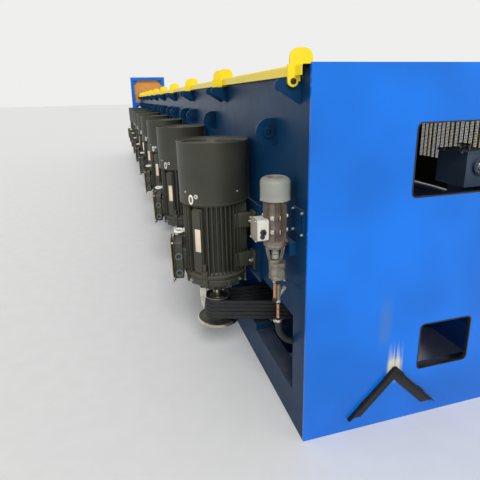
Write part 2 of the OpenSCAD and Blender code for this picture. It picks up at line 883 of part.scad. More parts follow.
// Copper nipple, elbow and Y-shaped strainer between the pump and the hose
module pump_strainer() {
    copper_r = 8;
    elbow_r = 10;
    body_r = 11;
    branch_r = 9;
    elbow_z = strainer_low + 84;
    nut_h = 12;
    color("#969180")
        translate([pump_x, pump_y, 0]) {
            translate([0, 0, elbow_z]) cylinder(r = copper_r, h = gear_low - elbow_z);
            translate([0, -elbow_r - 1, elbow_z])
                rotate([-90, 0, 0]) cylinder(r = elbow_r, h = elbow_r + 1 + pipe_in);
            translate([0, pipe_in, 0]) {
                translate([0, 0, strainer_low]) cylinder(r = copper_r, h = gear_low - strainer_low);
                translate([0, 0, elbow_z]) cylinder(r = body_r, h = 88);
                translate([0, 0, elbow_z - nut_h / 2]) cylinder(r = body_r + 2, h = nut_h, $fn = 6);
                translate([0, 0, elbow_z + 22]) rotate([-34, 0, 0]) cylinder(r = branch_r, h = 58);
                translate([0, 0, strainer_low]) cylinder(r = copper_r + 4, h = 14, $fn = 6);
            }
        }
}

// Hose from the strainer down and back through the opening in the rear face
module suction_hose() {
    hose_r = 15;
    bend_r = 110;
    bend_z = strainer_low - 40;
    inner_y = rear_y + rail_w + 60;
    color("#181818")
        translate([pump_x, pump_y + pipe_in, 0]) {
            translate([0, 0, bend_z]) cylinder(r = hose_r, h = strainer_low - bend_z);
            translate([0, bend_r, bend_z]) rotate([0, 90, 0]) rotate([0, 0, -90])
                rotate_extrude(angle = 90) translate([bend_r, 0]) circle(hose_r, $fn = 32);
            translate([0, bend_r, bend_z - bend_r]) rotate([-90, 0, 0])
                cylinder(r = hose_r, h = inner_y - pump_y - pipe_in - bend_r);
        }
}

/* Far end */

frame_rise = 510;
frame_top = frame_h + frame_rise;
frame_bar = 90;
frame_w = 990;
frame_out = 280;
mid_drop = 300;
mid_z = frame_h - mid_drop;

// A tall portal at the far end of the row
module exit_frame() {
    color(frame_blue)
        translate([-near_x - frame_bar, rear_y - frame_out, 0]) {
            cube([frame_bar, frame_bar, frame_top]);
            translate([0, frame_w - frame_bar, 0]) cube([frame_bar, frame_bar, frame_top]);
            translate([0, 0, frame_top - frame_bar]) cube([frame_bar, frame_w, frame_bar]);
            translate([0, 0, mid_z]) cube([frame_bar, frame_w, frame_bar]);
        }
}

module exit_panel() {
    color("#c8863c")
        translate([-near_x - frame_bar, rear_y - frame_out + frame_bar, mid_z + frame_bar])
            cube([20, frame_w - 2 * frame_bar, frame_top - mid_z - 2 * frame_bar]);
}

rear_base_rail();
front_base_rail();
cross_sills();
rear_columns();
front_columns();
rear_wall();
near_end_plate();
far_end_plate();
bulkheads();
deck();
front_panels();
hinge_brackets();
wall_lugs();
slotted_cover();
motor_plates();
motor_cowls();
motor_stators();
motor_shields();
terminal_boxes();
lifting_eyes();
drive_belts();
gearboxes();
gearbox_pulleys();
capstans();
die_boxes();
guide_rollers();
pump_bracket();
pump_motor();
pump_body();
pump_strainer();
suction_hose();
weld_angle();
exit_frame();
exit_panel();
for (i = blocks) {
    guard_hood(i);
    drive_pulley(i);
}
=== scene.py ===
"""Looks of a straight-line wire drawing machine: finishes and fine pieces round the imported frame.

All places are in metres in the row's frame: +X to the near end, -Y to the motors, +Z up.
"""
import json
import math
import random

import bmesh
import bpy
from mathutils import Matrix, Vector


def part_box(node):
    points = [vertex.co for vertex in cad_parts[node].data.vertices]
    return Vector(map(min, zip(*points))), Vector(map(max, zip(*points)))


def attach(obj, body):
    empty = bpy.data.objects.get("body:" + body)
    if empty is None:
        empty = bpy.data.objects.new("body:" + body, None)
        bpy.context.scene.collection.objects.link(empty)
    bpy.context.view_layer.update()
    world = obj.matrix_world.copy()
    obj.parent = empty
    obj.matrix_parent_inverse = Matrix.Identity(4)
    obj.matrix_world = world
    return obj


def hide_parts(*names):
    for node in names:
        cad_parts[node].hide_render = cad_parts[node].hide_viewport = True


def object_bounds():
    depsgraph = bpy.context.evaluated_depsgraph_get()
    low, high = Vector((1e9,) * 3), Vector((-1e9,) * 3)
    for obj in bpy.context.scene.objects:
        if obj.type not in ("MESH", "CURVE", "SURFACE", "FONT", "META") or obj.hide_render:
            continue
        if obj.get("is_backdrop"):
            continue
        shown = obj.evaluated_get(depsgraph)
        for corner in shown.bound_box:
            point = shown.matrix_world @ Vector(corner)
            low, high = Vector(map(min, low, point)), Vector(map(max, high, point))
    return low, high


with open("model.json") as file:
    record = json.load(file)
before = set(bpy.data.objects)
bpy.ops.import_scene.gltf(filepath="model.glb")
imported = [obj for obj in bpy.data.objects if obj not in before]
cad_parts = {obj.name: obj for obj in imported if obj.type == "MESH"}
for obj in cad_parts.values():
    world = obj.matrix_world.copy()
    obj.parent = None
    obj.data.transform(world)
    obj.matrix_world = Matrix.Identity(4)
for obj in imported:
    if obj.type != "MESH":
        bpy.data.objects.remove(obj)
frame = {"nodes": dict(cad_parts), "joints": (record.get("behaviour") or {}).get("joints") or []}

CAD_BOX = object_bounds()
random.seed(560)

NODES = frame["nodes"]
JOINTS = {joint["name"]: joint for joint in frame["joints"]}
BLOCKS = range(1, 1 + sum(name.startswith("guard_hood_") for name in NODES))
MOTORS = [Vector(JOINTS[f"pulley_{i}_spin"]["pos_m"]).xy for i in BLOCKS]

NEAR_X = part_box("near_end_plate")[1].x
FAR_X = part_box("far_end_plate")[0].x
FRAME_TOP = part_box("near_end_plate")[1].z
WALL_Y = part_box("rear_wall")[0].y
DECK_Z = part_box("deck")[1].z
PITCH = MOTORS[0].x - MOTORS[1].x
END_BAY = 0.1
ANGLE_Y = (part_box("weld_angle")[0].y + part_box("weld_angle")[1].y) / 2
ANGLE_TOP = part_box("weld_angle")[1].z
BLOCK_X = [NEAR_X - END_BAY - PITCH * (i - 0.5) for i in BLOCKS]
BOUND_X = [NEAR_X - END_BAY - PITCH * (i - 1) for i in BLOCKS] + [FAR_X + END_BAY]

# Shader maths


def rgb(code):
    """A colour of the screen, as a hex code, in Blender's linear numbers."""
    parts = [int(code[i:i + 2], 16) / 255 for i in (1, 3, 5)]
    return tuple(p / 12.92 if p <= 0.04045 else ((p + 0.055) / 1.055) ** 2.4 for p in parts) + (1.0,)


class Amount:
    """A number that varies over a surface. Arithmetic on it adds Math nodes."""

    def __init__(self, finish, socket):
        self.finish = finish
        self.socket = socket

    def maths(self, operation, *terms):
        node = self.finish.add("ShaderNodeMath", operation=operation)
        for slot, term in zip(node.inputs, terms):
            self.finish.feed(slot, term)
        return Amount(self.finish, node.outputs[0])

    __add__ = __radd__ = lambda self, other: self.maths("ADD", self, other)
    __mul__ = __rmul__ = lambda self, other: self.maths("MULTIPLY", self, other)
    __sub__ = lambda self, other: self.maths("SUBTRACT", self, other)
    __rsub__ = lambda self, other: self.maths("SUBTRACT", other, self)

    def size(self):
        return self.maths("ABSOLUTE", self)

    def rise(self, start, end):
        """0 below start, 1 above end, and smooth between."""
        node = self.finish.add("ShaderNodeMapRange", interpolation_type="SMOOTHSTEP")
        for name, term in (("Value", self), ("From Min", start), ("From Max", end)):
            self.finish.feed(node.inputs[name], term)
        return Amount(self.finish, node.outputs["Result"])


class Finish:
    """One material, with the nodes that its makers need."""

    def __init__(self, name, code="#ffffff", **fixed):
        self.colour = rgb(code)
        self.material = bpy.data.materials.new(name)
        self.material.use_nodes = True
        self.tree = self.material.node_tree
        self.shader = self.tree.nodes["Principled BSDF"]
        self.place = self.add("ShaderNodeTexCoord").outputs["Object"]
        for slot, value in fixed.items():
            self.shader.inputs[slot.replace("_", " ")].default_value = value

    def add(self, kind, **settings):
        node = self.tree.nodes.new(kind)
        for name, value in settings.items():
            setattr(node, name, value)
        return node

    def feed(self, slot, term):
        if isinstance(term, Amount):
            term = term.socket
        if isinstance(term, bpy.types.NodeSocket):
            self.tree.links.new(term, slot)
        else:
            slot.default_value = term

    def split(self, vector):
        node = self.add("ShaderNodeSeparateXYZ")
        self.feed(node.inputs[0], vector)
        return [Amount(self, out) for out in node.outputs]

    def axes(self):
        return self.split(self.place)

    def looks(self):
        """Where a face looks: 1 along an axis, -1 against it."""
        return self.split(self.add("ShaderNodeNewGeometry").outputs["Normal"])

    def node(self, kind, **inputs):
        """The first output of a new node, with the values or links of its sockets."""
        node = self.add(kind)
        for name, term in inputs.items():
            self.feed(node.inputs[name], term)
        return node.outputs[0]

    def noise(self, scale, detail=3.0, stretch=None):
        place = self.node("ShaderNodeMapping", Vector=self.place, Scale=stretch) if stretch else self.place
        return Amount(self, self.node("ShaderNodeTexNoise", Vector=place, Scale=scale, Detail=detail))

    def cells(self, scale):
        return Amount(self, self.node("ShaderNodeTexVoronoi", Vector=self.place, Scale=scale))

    def blend(self, share, first, second):
        """first where share is 0, and second where it is 1."""
        node = self.add("ShaderNodeMix", data_type="RGBA", clamp_factor=True)
        self.feed(node.inputs[0], share)
        self.feed(node.inputs[6], first)
        self.feed(node.inputs[7], second)
        return node.outputs[2]

    def tones(self, share, dark, light):
        """The finish's own colour, from darker where share is 0 to lighter where it is 1."""
        return self.blend(share, *(tuple(min(1.0, part * factor) for part in self.colour[:3]) + (1.0,)
                                   for factor in (dark, light)))

    def bump(self, height, depth):
        self.set(Normal=self.node("ShaderNodeBump", Height=height, Distance=depth))

    def set(self, **inputs):
        for slot, term in inputs.items():
            self.feed(self.shader.inputs[slot.replace("_", " ")], term)
        return self.material


# Finishes

DUST = rgb("#8a8478")
GRIME = rgb("#2a2620")
PRIMER = rgb("#8f8a80")


def enamel(name, code, gloss=0.2, dust=0.55, grime=0.7, shine=0.35, waves=0.16, marks=None):
    """Sprayed machine enamel: slow waves in the tone, orange peel, dust on what looks up,
    grime towards the floor, and a few chips down to the primer."""
    finish = Finish(name, code, Specular_IOR_Level=shine)
    slow = finish.noise(1.7, 2.0)
    fine = finish.noise(14.0, 5.0)
    _, _, height = finish.axes()
    settled = finish.looks()[2].rise(0.5, 0.95) * (fine * 0.9 + 0.2) * dust
    low = (1 - height.rise(0.0, 0.36)) * (fine * 0.7 + 0.3) * grime
    chips = finish.cells(31.0).rise(0.0, 0.075)
    scarce = finish.noise(5.5, 2.0).rise(0.64, 0.70)
    chipped = (1 - chips) * scarce
    tone = finish.tones(slow.rise(0.3, 0.7), 1 - waves, 1 + waves * 0.75)
    tone = finish.blend(fine.rise(0.55, 0.8) * grime * 0.15, tone, GRIME)
    if marks:
        tone = marks(finish, tone)
    tone = finish.blend(chipped, tone, PRIMER)
    tone = finish.blend(low, tone, GRIME)
    tone = finish.blend(settled, tone, DUST)
    peel = finish.noise(260.0, 2.0) * 0.25 + finish.noise(7.0, 1.0) * 2.2
    finish.bump(peel - chipped * 0.6, 0.0006)
    rough = fine * 0.14 + gloss + settled * 0.5 + low * 0.35 + chipped * 0.3
    return finish.set(Base_Color=tone, Roughness=rough)


def burn_marks(finish, tone):
    """Pale heat streaks in the paint round the top of the welded angle on the near end plate."""
    along, across, height = finish.axes()
    near = along.rise(NEAR_X - 0.050, NEAR_X - 0.030)
    streak = finish.noise(3.0, 4.0, stretch=(1.0, 22.0, 1.6)).rise(0.36, 0.60)
    beside = near * (1 - ((across - ANGLE_Y).size()).rise(0.020, 0.052))
    above = height.rise(ANGLE_TOP - 0.110, ANGLE_TOP - 0.020)
    core = beside * above * (1 - height.rise(ANGLE_TOP + 0.005, ANGLE_TOP + 0.060))
    plume = beside * above * (1 - height.rise(ANGLE_TOP + 0.020, ANGLE_TOP + 0.150)) * streak
    faint = near * (1 - ((across - ANGLE_Y + 0.070).size()).rise(0.010, 0.050)) * height.rise(
        ANGLE_TOP + 0.100, ANGLE_TOP + 0.180) * (1 - height.rise(ANGLE_TOP + 0.300, ANGLE_TOP + 0.420))
    tone = finish.blend(faint * 0.28, tone, rgb("#5f7a80"))
    return finish.blend(core * 0.75 + plume * 0.70, tone, rgb("#cfcab2"))


def hood_inside_shade(finish, tone):
    """Painted shade on the faces inside a hood, which look down or back to the rear wall: they are darkened
    to near black.
    """
    _, front, up = finish.looks()
    _, across, _ = finish.axes()
    below = 1 - up.rise(-0.9, -0.5)
    behind = (1 - front.rise(-0.9, -0.5)) * across.rise(0.4, 0.5)
    return finish.blend((below + behind) * 0.85, tone, rgb("#1c1913"))


def motor_paint(name, code, grain=420.0):
    """Semi-matt paint on castings, with dust on the ledges and oil towards the shaft."""
    finish = Finish(name, code)
    slow = finish.noise(4.0, 3.0)
    fine = finish.noise(38.0, 5.0)
    _, _, height = finish.axes()
    settled = finish.looks()[2].rise(0.25, 0.9) * (fine * 0.7 + 0.35)
    oil = (1 - height.rise(0.42, 0.62)) * finish.noise(11.0, 3.0, stretch=(1, 1, 0.35)).rise(0.45, 0.7)
    rubbed = finish.cells(55.0).rise(0.02, 0.06)
    tone = finish.tones(slow.rise(0.25, 0.75), 0.8, 1.22)
    tone = finish.blend((1 - rubbed) * slow.rise(0.6, 0.66) * 0.6, tone, rgb("#8b877a"))
    tone = finish.blend(oil * 0.7, tone, rgb("#15130f"))
    tone = finish.blend(settled * 0.4, tone, rgb("#6c675a"))
    finish.bump(finish.noise(grain, 3.0) + fine * 0.8, 0.0007)
    return finish.set(Base_Color=tone, Roughness=fine * 0.2 + 0.36 + settled * 0.3 - oil * 0.14)


def bare_metal(name, code, rough=0.32, grain=(1.0, 1.0, 60.0), stain="#4a4036", stains=0.4):
    """Turned or brushed metal with fine lines and dull stains."""
    finish = Finish(name, code)
    lines = finish.noise(30.0, 3.0, stretch=grain)
    patches = finish.noise(16.0, 4.0)
    stained = patches.rise(0.5, 0.72) * stains
    tone = finish.tones(lines.rise(0.3, 0.7), 0.82, 1.12)
    tone = finish.blend(stained, tone, rgb(stain))
    finish.bump(lines, 0.00025)
    return finish.set(Base_Color=tone, Roughness=lines * 0.14 + rough + stained * 0.3,
                      Metallic=1 - stained * 0.7)


def rubber(name, code, rough=0.45, ribs=(1.0, 1.0, 40.0)):
    """Worn black rubber with dusty streaks along its run."""
    finish = Finish(name, code)
    streaks = finish.noise(14.0, 4.0, stretch=ribs)
    dusty = finish.noise(9.0, 4.0).rise(0.45, 0.8)
    tone = finish.blend(streaks.rise(0.35, 0.75) * 0.5, finish.colour, rgb("#20272c"))
    tone = finish.blend(dusty * 0.14, tone, rgb("#6a655c"))
    finish.bump(streaks + finish.noise(300.0, 2.0) * 0.6, 0.0004)
    return finish.set(Base_Color=tone, Roughness=streaks * 0.2 + rough)


def casting(name, code, metal=0.55):
    """Bare or thinly coated casting with a sandy skin and darker, oily hollows."""
    finish = Finish(name, code)
    sand = finish.noise(520.0, 2.0)
    patch = finish.noise(24.0, 5.0)
    tone = finish.tones(patch.rise(0.35, 0.7), 0.62, 1.15)
    finish.bump(sand + patch, 0.0006)
    return finish.set(Base_Color=tone, Roughness=patch * 0.25 + 0.4, Metallic=patch * 0.2 + metal)


def sheet_board(name, code):
    """Tan sheet with a long, faint grain."""
    finish = Finish(name, code)
    grain = finish.noise(5.0, 6.0, stretch=(1.0, 1.0, 9.0))
    tone = finish.tones(grain.rise(0.3, 0.7), 0.85, 1.12)
    finish.bump(grain, 0.0004)
    return finish.set(Base_Color=tone, Roughness=grain * 0.2 + 0.45)


def studio_floor(name):
    """Plain pale floor with a trace of tone, so that it doesn't look like paper."""
    finish = Finish(name)
    tone = finish.blend(finish.noise(9.0, 5.0).rise(0.3, 0.7), (0.755, 0.755, 0.75, 1.0),
                        (0.775, 0.775, 0.77, 1.0))
    return finish.set(Base_Color=tone, Roughness=finish.noise(40.0) * 0.1 + 0.6)


FRAME_PAINT = enamel("blue_enamel_frame", "#0568d0", dust=0.4, grime=0.35)
PLATE_PAINT = enamel("blue_enamel_end_plate", "#0270dc", gloss=0.13, dust=0.3, grime=0.2, marks=burn_marks)
# A darker navy copy of the blue enamel for the rear wall and the frame and fittings on the motor side:
# painted shade for the side that faces away from the light.
PAINTED_SHADE_BLUE = enamel("blue_enamel_painted_shade", "#0c3558", gloss=0.3, dust=0.3, grime=0.4, shine=0.12)
# Inside the hoods, the marks are painted shade.
HOOD_PAINT = enamel("yellow_enamel_hoods", "#f7dc28", gloss=0.24, dust=0.06, grime=0.0, waves=0.05,
                    marks=hood_inside_shade)
MOTOR_PAINT = motor_paint("motor_paint", "#36362c")
# A near-black copy of the motor paint for the skin between the fins: painted shade.
PAINTED_SHADE_MOTOR_PAINT = motor_paint("motor_paint_painted_shade", "#191813")
GLAND_PAINT = motor_paint("worn_gland_paint", "#59625f", grain=200.0)
GEARBOX_PAINT = motor_paint("gearbox_paint", "#24467c")
BOX_PAINT = motor_paint("die_box_paint", "#3b4c60")
PUMP_PAINT = motor_paint("pump_silver_paint", "#8e9088", grain=260.0)
TURNED_IRON = bare_metal("turned_iron", "#55554f", rough=0.38, stains=0.7)
BRIGHT_RIM = bare_metal("bright_rim", "#c9c2b2", rough=0.2, stains=0.25)
GROUND_STEEL = bare_metal("ground_steel", "#9fa19e", rough=0.24, stains=0.3)
ZINC = bare_metal("zinc_plated_steel", "#c4c2b6", rough=0.3, grain=(1.0, 1.0, 4.0), stains=0.3)
COPPER = bare_metal("copper_tube", "#d09a78", rough=0.3, stain="#5c4636", stains=0.4)
BRASS = bare_metal("brass_fittings", "#b09a5c", rough=0.32, stain="#5a4c30", stains=0.4)
PUMP_CASTING = casting("pump_casting", "#8b887a", metal=0.45)
STRAINER_CASTING = casting("strainer_casting", "#9c978a", metal=0.5)
BLACK_STEEL = casting("black_angle_iron", "#2a2826", metal=0.35)
BELT_RUBBER = rubber("belt_rubber", "#0b0c0f")
HOSE_RUBBER = rubber("hose_rubber", "#121212", rough=0.5, ribs=(60.0, 60.0, 1.0))
BLACK_PLASTIC = rubber("black_plastic", "#17171a", rough=0.38, ribs=(3.0, 3.0, 3.0))
TAN_SHEET = sheet_board("tan_sheet", "#c98a45")
LID_PAINT = motor_paint("box_lid_primer", "#a08a52")
PALE_METAL = bare_metal("pale_plated_sheet", "#d8d4c8", rough=0.42, grain=(8.0, 8.0, 2.0), stains=0.25)
PALE_PAINT = motor_paint("pale_terminal_paint", "#d0cfc4", grain=300.0)
LID_GREY = motor_paint("grey_lid_paint", "#86806f", grain=300.0)
PUMP_RIBS = casting("pump_rib_aluminium", "#84776b", metal=0.35)
EYE_STEEL = motor_paint("pale_eye_bolt", "#e8e5da", grain=200.0)
CREAM_PLATE = motor_paint("cream_name_plate", "#ddcbb6", grain=200.0)
SEAL_GREY = motor_paint("dull_seal_plate", "#6a675c", grain=200.0)

# Ways to make meshes

SHARP_ANGLE = 0.6
X_AXIS, Y_AXIS, Z_AXIS = Vector((1, 0, 0)), Vector((0, 1, 0)), Vector((0, 0, 1))
ORIGIN = (0, 0, 0)


def spots(text, *base):
    """Points such as "12,0 14,-3": millimetres from a base that is in metres."""
    base = base or ORIGIN
    return [tuple(start + float(number) / 1000 for start, number in zip(base, spot.split(",")))
            for spot in text.split()]


def soften(bm, verts, width, segments=2):
    """Rounds the sharp edges of a shape that was just made."""
    edges = {edge for vert in verts for edge in vert.link_edges
             if len(edge.link_faces) == 2 and edge.calc_face_angle(0.0) > 0.5}
    if width > 0 and edges:
        bmesh.ops.bevel(bm, geom=list(edges), offset=width, affect="EDGES", offset_type="OFFSET",
                        segments=segments, profile=0.5, material=-1, clamp_overlap=True)


def join(bm, part, matrix=Matrix.Identity(4)):
    """Adds a small mesh at a place in a bigger one, and frees it."""
    mesh = bpy.data.meshes.new("part")
    part.to_mesh(mesh)
    part.free()
    mesh.transform(matrix)
    bm.from_mesh(mesh)
    bpy.data.meshes.remove(mesh)


def placed(bm, matrix, maker, *sizes, **more):
    """Makes a shape on its own and adds it at a place."""
    part = bmesh.new()
    maker(part, *sizes, **more)
    join(bm, part, matrix)


def block(bm, low, high, edge=0.002, segments=2):
    """A rectangular block between two corners, with softened edges."""
    low, high = Vector(low), Vector(high)
    verts = bmesh.ops.create_cube(bm, size=1.0)["verts"]
    bmesh.ops.scale(bm, vec=high - low, verts=verts)
    bmesh.ops.translate(bm, vec=(low + high) / 2, verts=verts)
    soften(bm, verts, edge, segments)


def rod(bm, start, end, radius, sides=24, tip=None, edge=0.0):
    """A round or many-sided rod between two points, tapered where tip is given."""
    start, end = Vector(start), Vector(end)
    run = end - start
    verts = bmesh.ops.create_cone(bm, cap_ends=True, segments=sides, radius1=radius,
                                  radius2=radius if tip is None else tip, depth=run.length)["verts"]
    turn = Z_AXIS.rotation_difference(run).to_matrix().to_4x4()
    bmesh.ops.transform(bm, matrix=Matrix.Translation((start + end) / 2) @ turn, verts=verts)
    soften(bm, verts, edge)


def spin(part, geom, sweep, steps, merge=False):
    """Turns what a part holds about Z, through some radians."""
    bmesh.ops.spin(part, geom=geom, cent=ORIGIN, axis=Z_AXIS, angle=sweep, steps=steps, use_merge=merge,
                   use_duplicate=False)


def turned(bm, profile, centre=ORIGIN, axis=Z_AXIS, steps=64):
    """A shape turned round an axis from (radius, height) points, first to last."""
    part = bmesh.new()
    verts = [part.verts.new((r, 0, z)) for r, z in profile]
    edges = [part.edges.new(pair) for pair in zip(verts, verts[1:])]
    spin(part, verts + edges, math.tau, steps, merge=True)
    bmesh.ops.remove_doubles(part, verts=part.verts, dist=1e-5)
    bmesh.ops.recalc_face_normals(part, faces=part.faces)
    join(bm, part, facing(centre, axis))


def swept(bm, profile, start, sweep, steps=40):
    """A closed profile of (radius, height) points, turned about Z through some degrees."""
    part = bmesh.new()
    part.faces.new([part.verts.new((r, 0, z)) for r, z in profile])
    spin(part, part.verts[:] + part.edges[:] + part.faces[:], math.radians(sweep), steps)
    bmesh.ops.recalc_face_normals(part, faces=part.faces)
    join(bm, part, at(turn=start))


def rounded(width, height, radius, steps=5):
    """Outline of a rectangle with rounded corners round the origin."""
    points = []
    for corner, (sx, sy) in enumerate(((1, 1), (-1, 1), (-1, -1), (1, -1))):
        for k in range(steps + 1):
            a = math.pi / 2 * (corner + k / steps)
            points.append((sx * (width / 2 - radius) + radius * math.cos(a),
                           sy * (height / 2 - radius) + radius * math.sin(a)))
    return points


def slab(bm, outline, low, high, edge=0.0, segments=2):
    """A flat outline raised along Z, with softened rims."""
    part = bmesh.new()
    foot, head = ([part.verts.new((x, y, z)) for x, y in outline] for z in (low, high))
    part.faces.new(reversed(foot))
    part.faces.new(head)
    for k in range(len(outline)):
        part.faces.new((foot[k - 1], foot[k], head[k], head[k - 1]))
    bmesh.ops.recalc_face_normals(part, faces=part.faces)
    soften(part, part.verts, edge, segments)
    join(bm, part)


def plate(bm, place, width, height, corner, low, high, edge, segments=2):
    """A plate with rounded corners at a place. Its sizes are in millimetres."""
    outline = rounded(width / 1000, height / 1000, corner / 1000)
    placed(bm, place, slab, outline, low / 1000, high / 1000, edge / 1000, segments)


def ring(bm, centre, axis, radius, tube, steps=32, sides=10):
    """A round ring of round wire."""
    loop = [(radius + tube * math.cos(a), tube * math.sin(a))
            for a in (math.tau * k / sides for k in range(sides + 1))]
    turned(bm, loop, centre, axis, steps)


def stamp(bm, kept, matrix):
    """Adds a kept shape at a place."""
    mesh = kept.copy()
    mesh.transform(matrix)
    bm.from_mesh(mesh)
    bpy.data.meshes.remove(mesh)


def shape(maker, *sizes):
    """A mesh that is kept to be stamped many times."""
    bm = bmesh.new()
    maker(bm, *sizes)
    mesh = bpy.data.meshes.new(maker.__name__)
    bm.to_mesh(mesh)
    bm.free()
    return mesh


def piece(name, bm, material, body="machine", replaces=()):
    """Turns a bmesh into a finished piece that rides on a body."""
    mesh = bpy.data.meshes.new(name)
    bm.to_mesh(mesh)
    bm.free()
    mesh.materials.append(material)
    mesh.shade_smooth()
    mesh.set_sharp_from_angle(angle=SHARP_ANGLE)
    made = bpy.data.objects.new(name, mesh)
    bpy.context.scene.collection.objects.link(made)
    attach(made, body)
    for node in replaces:
        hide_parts(node)


def copies(name, material, places, maker, *sizes, replaces=()):
    """One fixed piece that holds the same shape at several places."""
    made, bm = shape(maker, *sizes), bmesh.new()
    for x, y in places:
        stamp(bm, made, at(x, y))
    piece(name, bm, material, replaces=replaces)


def at(x=0.0, y=0.0, z=0.0, turn=0.0):
    """A place, turned about Z by degrees."""
    return Matrix.Translation((x, y, z)) @ Matrix.Rotation(math.radians(turn), 4, "Z")


def facing(place, axis):
    """A place whose own Z looks along an axis."""
    return Matrix.Translation(place) @ Z_AXIS.rotation_difference(Vector(axis)).to_matrix().to_4x4()


def standing(place, out):
    """A place on a wall: its own Y is up and its own Z looks out of the wall."""
    out = Vector(out)
    return Matrix.Translation(place) @ Matrix((Z_AXIS.cross(out), Z_AXIS, out)).transposed().to_4x4()


def outward(radius, turn, z):
    """A place on an upright round surface: its own Y is up and its own Z looks outwards."""
    return at(turn=turn) @ standing((radius, 0, z), X_AXIS)


def downward(x, turn, z, y=0.0):
    """A place under a part, turned about Z by degrees, with its own Z looking down."""
    return at(turn=turn) @ Matrix.Translation((x, y, z)) @ Matrix.Rotation(math.pi, 4, "X")


def spun(bm, turn, maker, *sizes):
    """Makes a shape and adds it turned about Z by degrees."""
    placed(bm, at(turn=turn), maker, *sizes)


def web(bm, turn, outline, half, edge):
    """A thin upright plate along a radius, from (radius, height) points."""
    placed(bm, at(turn=turn) @ Matrix.Rotation(math.pi / 2, 4, "X"), slab, outline, -half, half, edge)


def studs(bm, places, text, steps=64):
    """The same small turned shape at several places."""
    for place in places:
        placed(bm, place, turned, spots(text), steps=steps)


def clear_of(angle, middle, half):
    return abs((angle - middle + 180) % 360 - 180) > half


def hex_bolt(bm, across):
    """A hex head on a washer, standing on Z = 0."""
    for low, high, radius, sides, tip, edge in ((0, 0.12, 0.68, 20, None, 0),
                                                (0.12, 0.72, 0.52, 6, None, 0.04),
                                                (0.72, 0.90, 0.26, 12, 0.2, 0)):
        rod(bm, (0, 0, across * low), (0, 0, across * high), across * radius, sides,
            tip and across * tip, across * edge)


def cap_screw(bm, width):
    """A socket cap screw, standing on Z = 0."""
    profile = ((0, 0.3), (0.22, 0.3), (0.26, 0.62), (0.44, 0.62), (0.5, 0.54), (0.5, 0), (0, 0))
    turned(bm, [(width * r, width * z) for r, z in profile], steps=16)


BOLT_10, BOLT_16, BOLT_20 = (shape(hex_bolt, across) for across in (0.016, 0.024, 0.032))
SCREW_5, SCREW_8 = (shape(cap_screw, width) for width in (0.008, 0.013))

# Motors

COWL_LOW, COWL_HIGH = (corner.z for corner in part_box("motor_cowls"))
STATOR_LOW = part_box("motor_stators")[0].z
SHIELD_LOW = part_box("motor_shields")[0].z
COWL_R = (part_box("motor_cowls")[1].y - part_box("motor_cowls")[0].y) / 2
FIN_R = 0.192
FINS = 45
FIN_FOOT_R = FIN_R - 0.026
RIM_R = FIN_R - 0.006
PANEL_TURN, BOX_TURN = -45.0, -100.0
FOOT_Y = 0.2
BOX_Z = STATOR_LOW - 0.030
BOX_H = 0.235
BOX_FACE_R = FIN_R + 0.008
LUG_TURNS = [-34 + 90 * k for k in range(4)]
TAB_TURN, EYE_TURN = -17, -88
# The two places for cables in the box's side towards the near end
GLANDS = [at(turn=BOX_TURN) @ facing((FIN_R + 0.033, 0.075, BOX_Z + z), Y_AXIS) for z in (0.040, 0.145)]
# The places and half sizes of the oval and the round plate low on the cowl
SEALS = [outward(COWL_R - 0.0052, turn, COWL_LOW + z) @ Matrix.Diagonal((wide, tall, 1.0, 1.0))
         for wide, tall, turn, z in ((0.0160, 0.0285, -51.5, 0.035), (0.0120, 0.0120, -41.5, 0.0545))]


def cowl(bm):
    """Fan cowl: a rolled drum that widens a little to a thin lip, with a ringed grille over the fan."""
    turned(bm, spots("-16,30 -15,1 -7,0 -4,3 -4,13 -5.2,14.5 -5.2,16.5 -4,18", COWL_R, COWL_LOW)
           + spots("-.8,-10 0,-8 0,-2 -2,0 -5,0 -7,-2 -7,-7 -20,-9 -23,-12 -23,-52", COWL_R, COWL_HIGH)
           + [(0, COWL_HIGH - 0.052)], steps=96)
    grille = COWL_HIGH - 0.010
    for k in range(11):
        ring(bm, (0, 0, grille), Z_AXIS, 0.032 + k * 0.0145, 0.0021, steps=40, sides=6)
    for k in range(8):
        spun(bm, k * 45, rod, (0, 0, grille - 0.003), (COWL_R - 0.022, 0, grille - 0.003), 0.003, 8)
    turned(bm, spots("0,4 26,4 30,0 30,-6", 0, grille), steps=32)


def fan(bm):
    """The fan's hub and blades under the grille."""
    low = COWL_HIGH - 0.048
    rod(bm, (0, 0, low), (0, 0, low + 0.026), 0.040, edge=0.003)
    for k in range(7):
        spun(bm, k * 360 / 7, block, *spots("35,-2,0 150,2,22", 0, 0, low), 0.001)


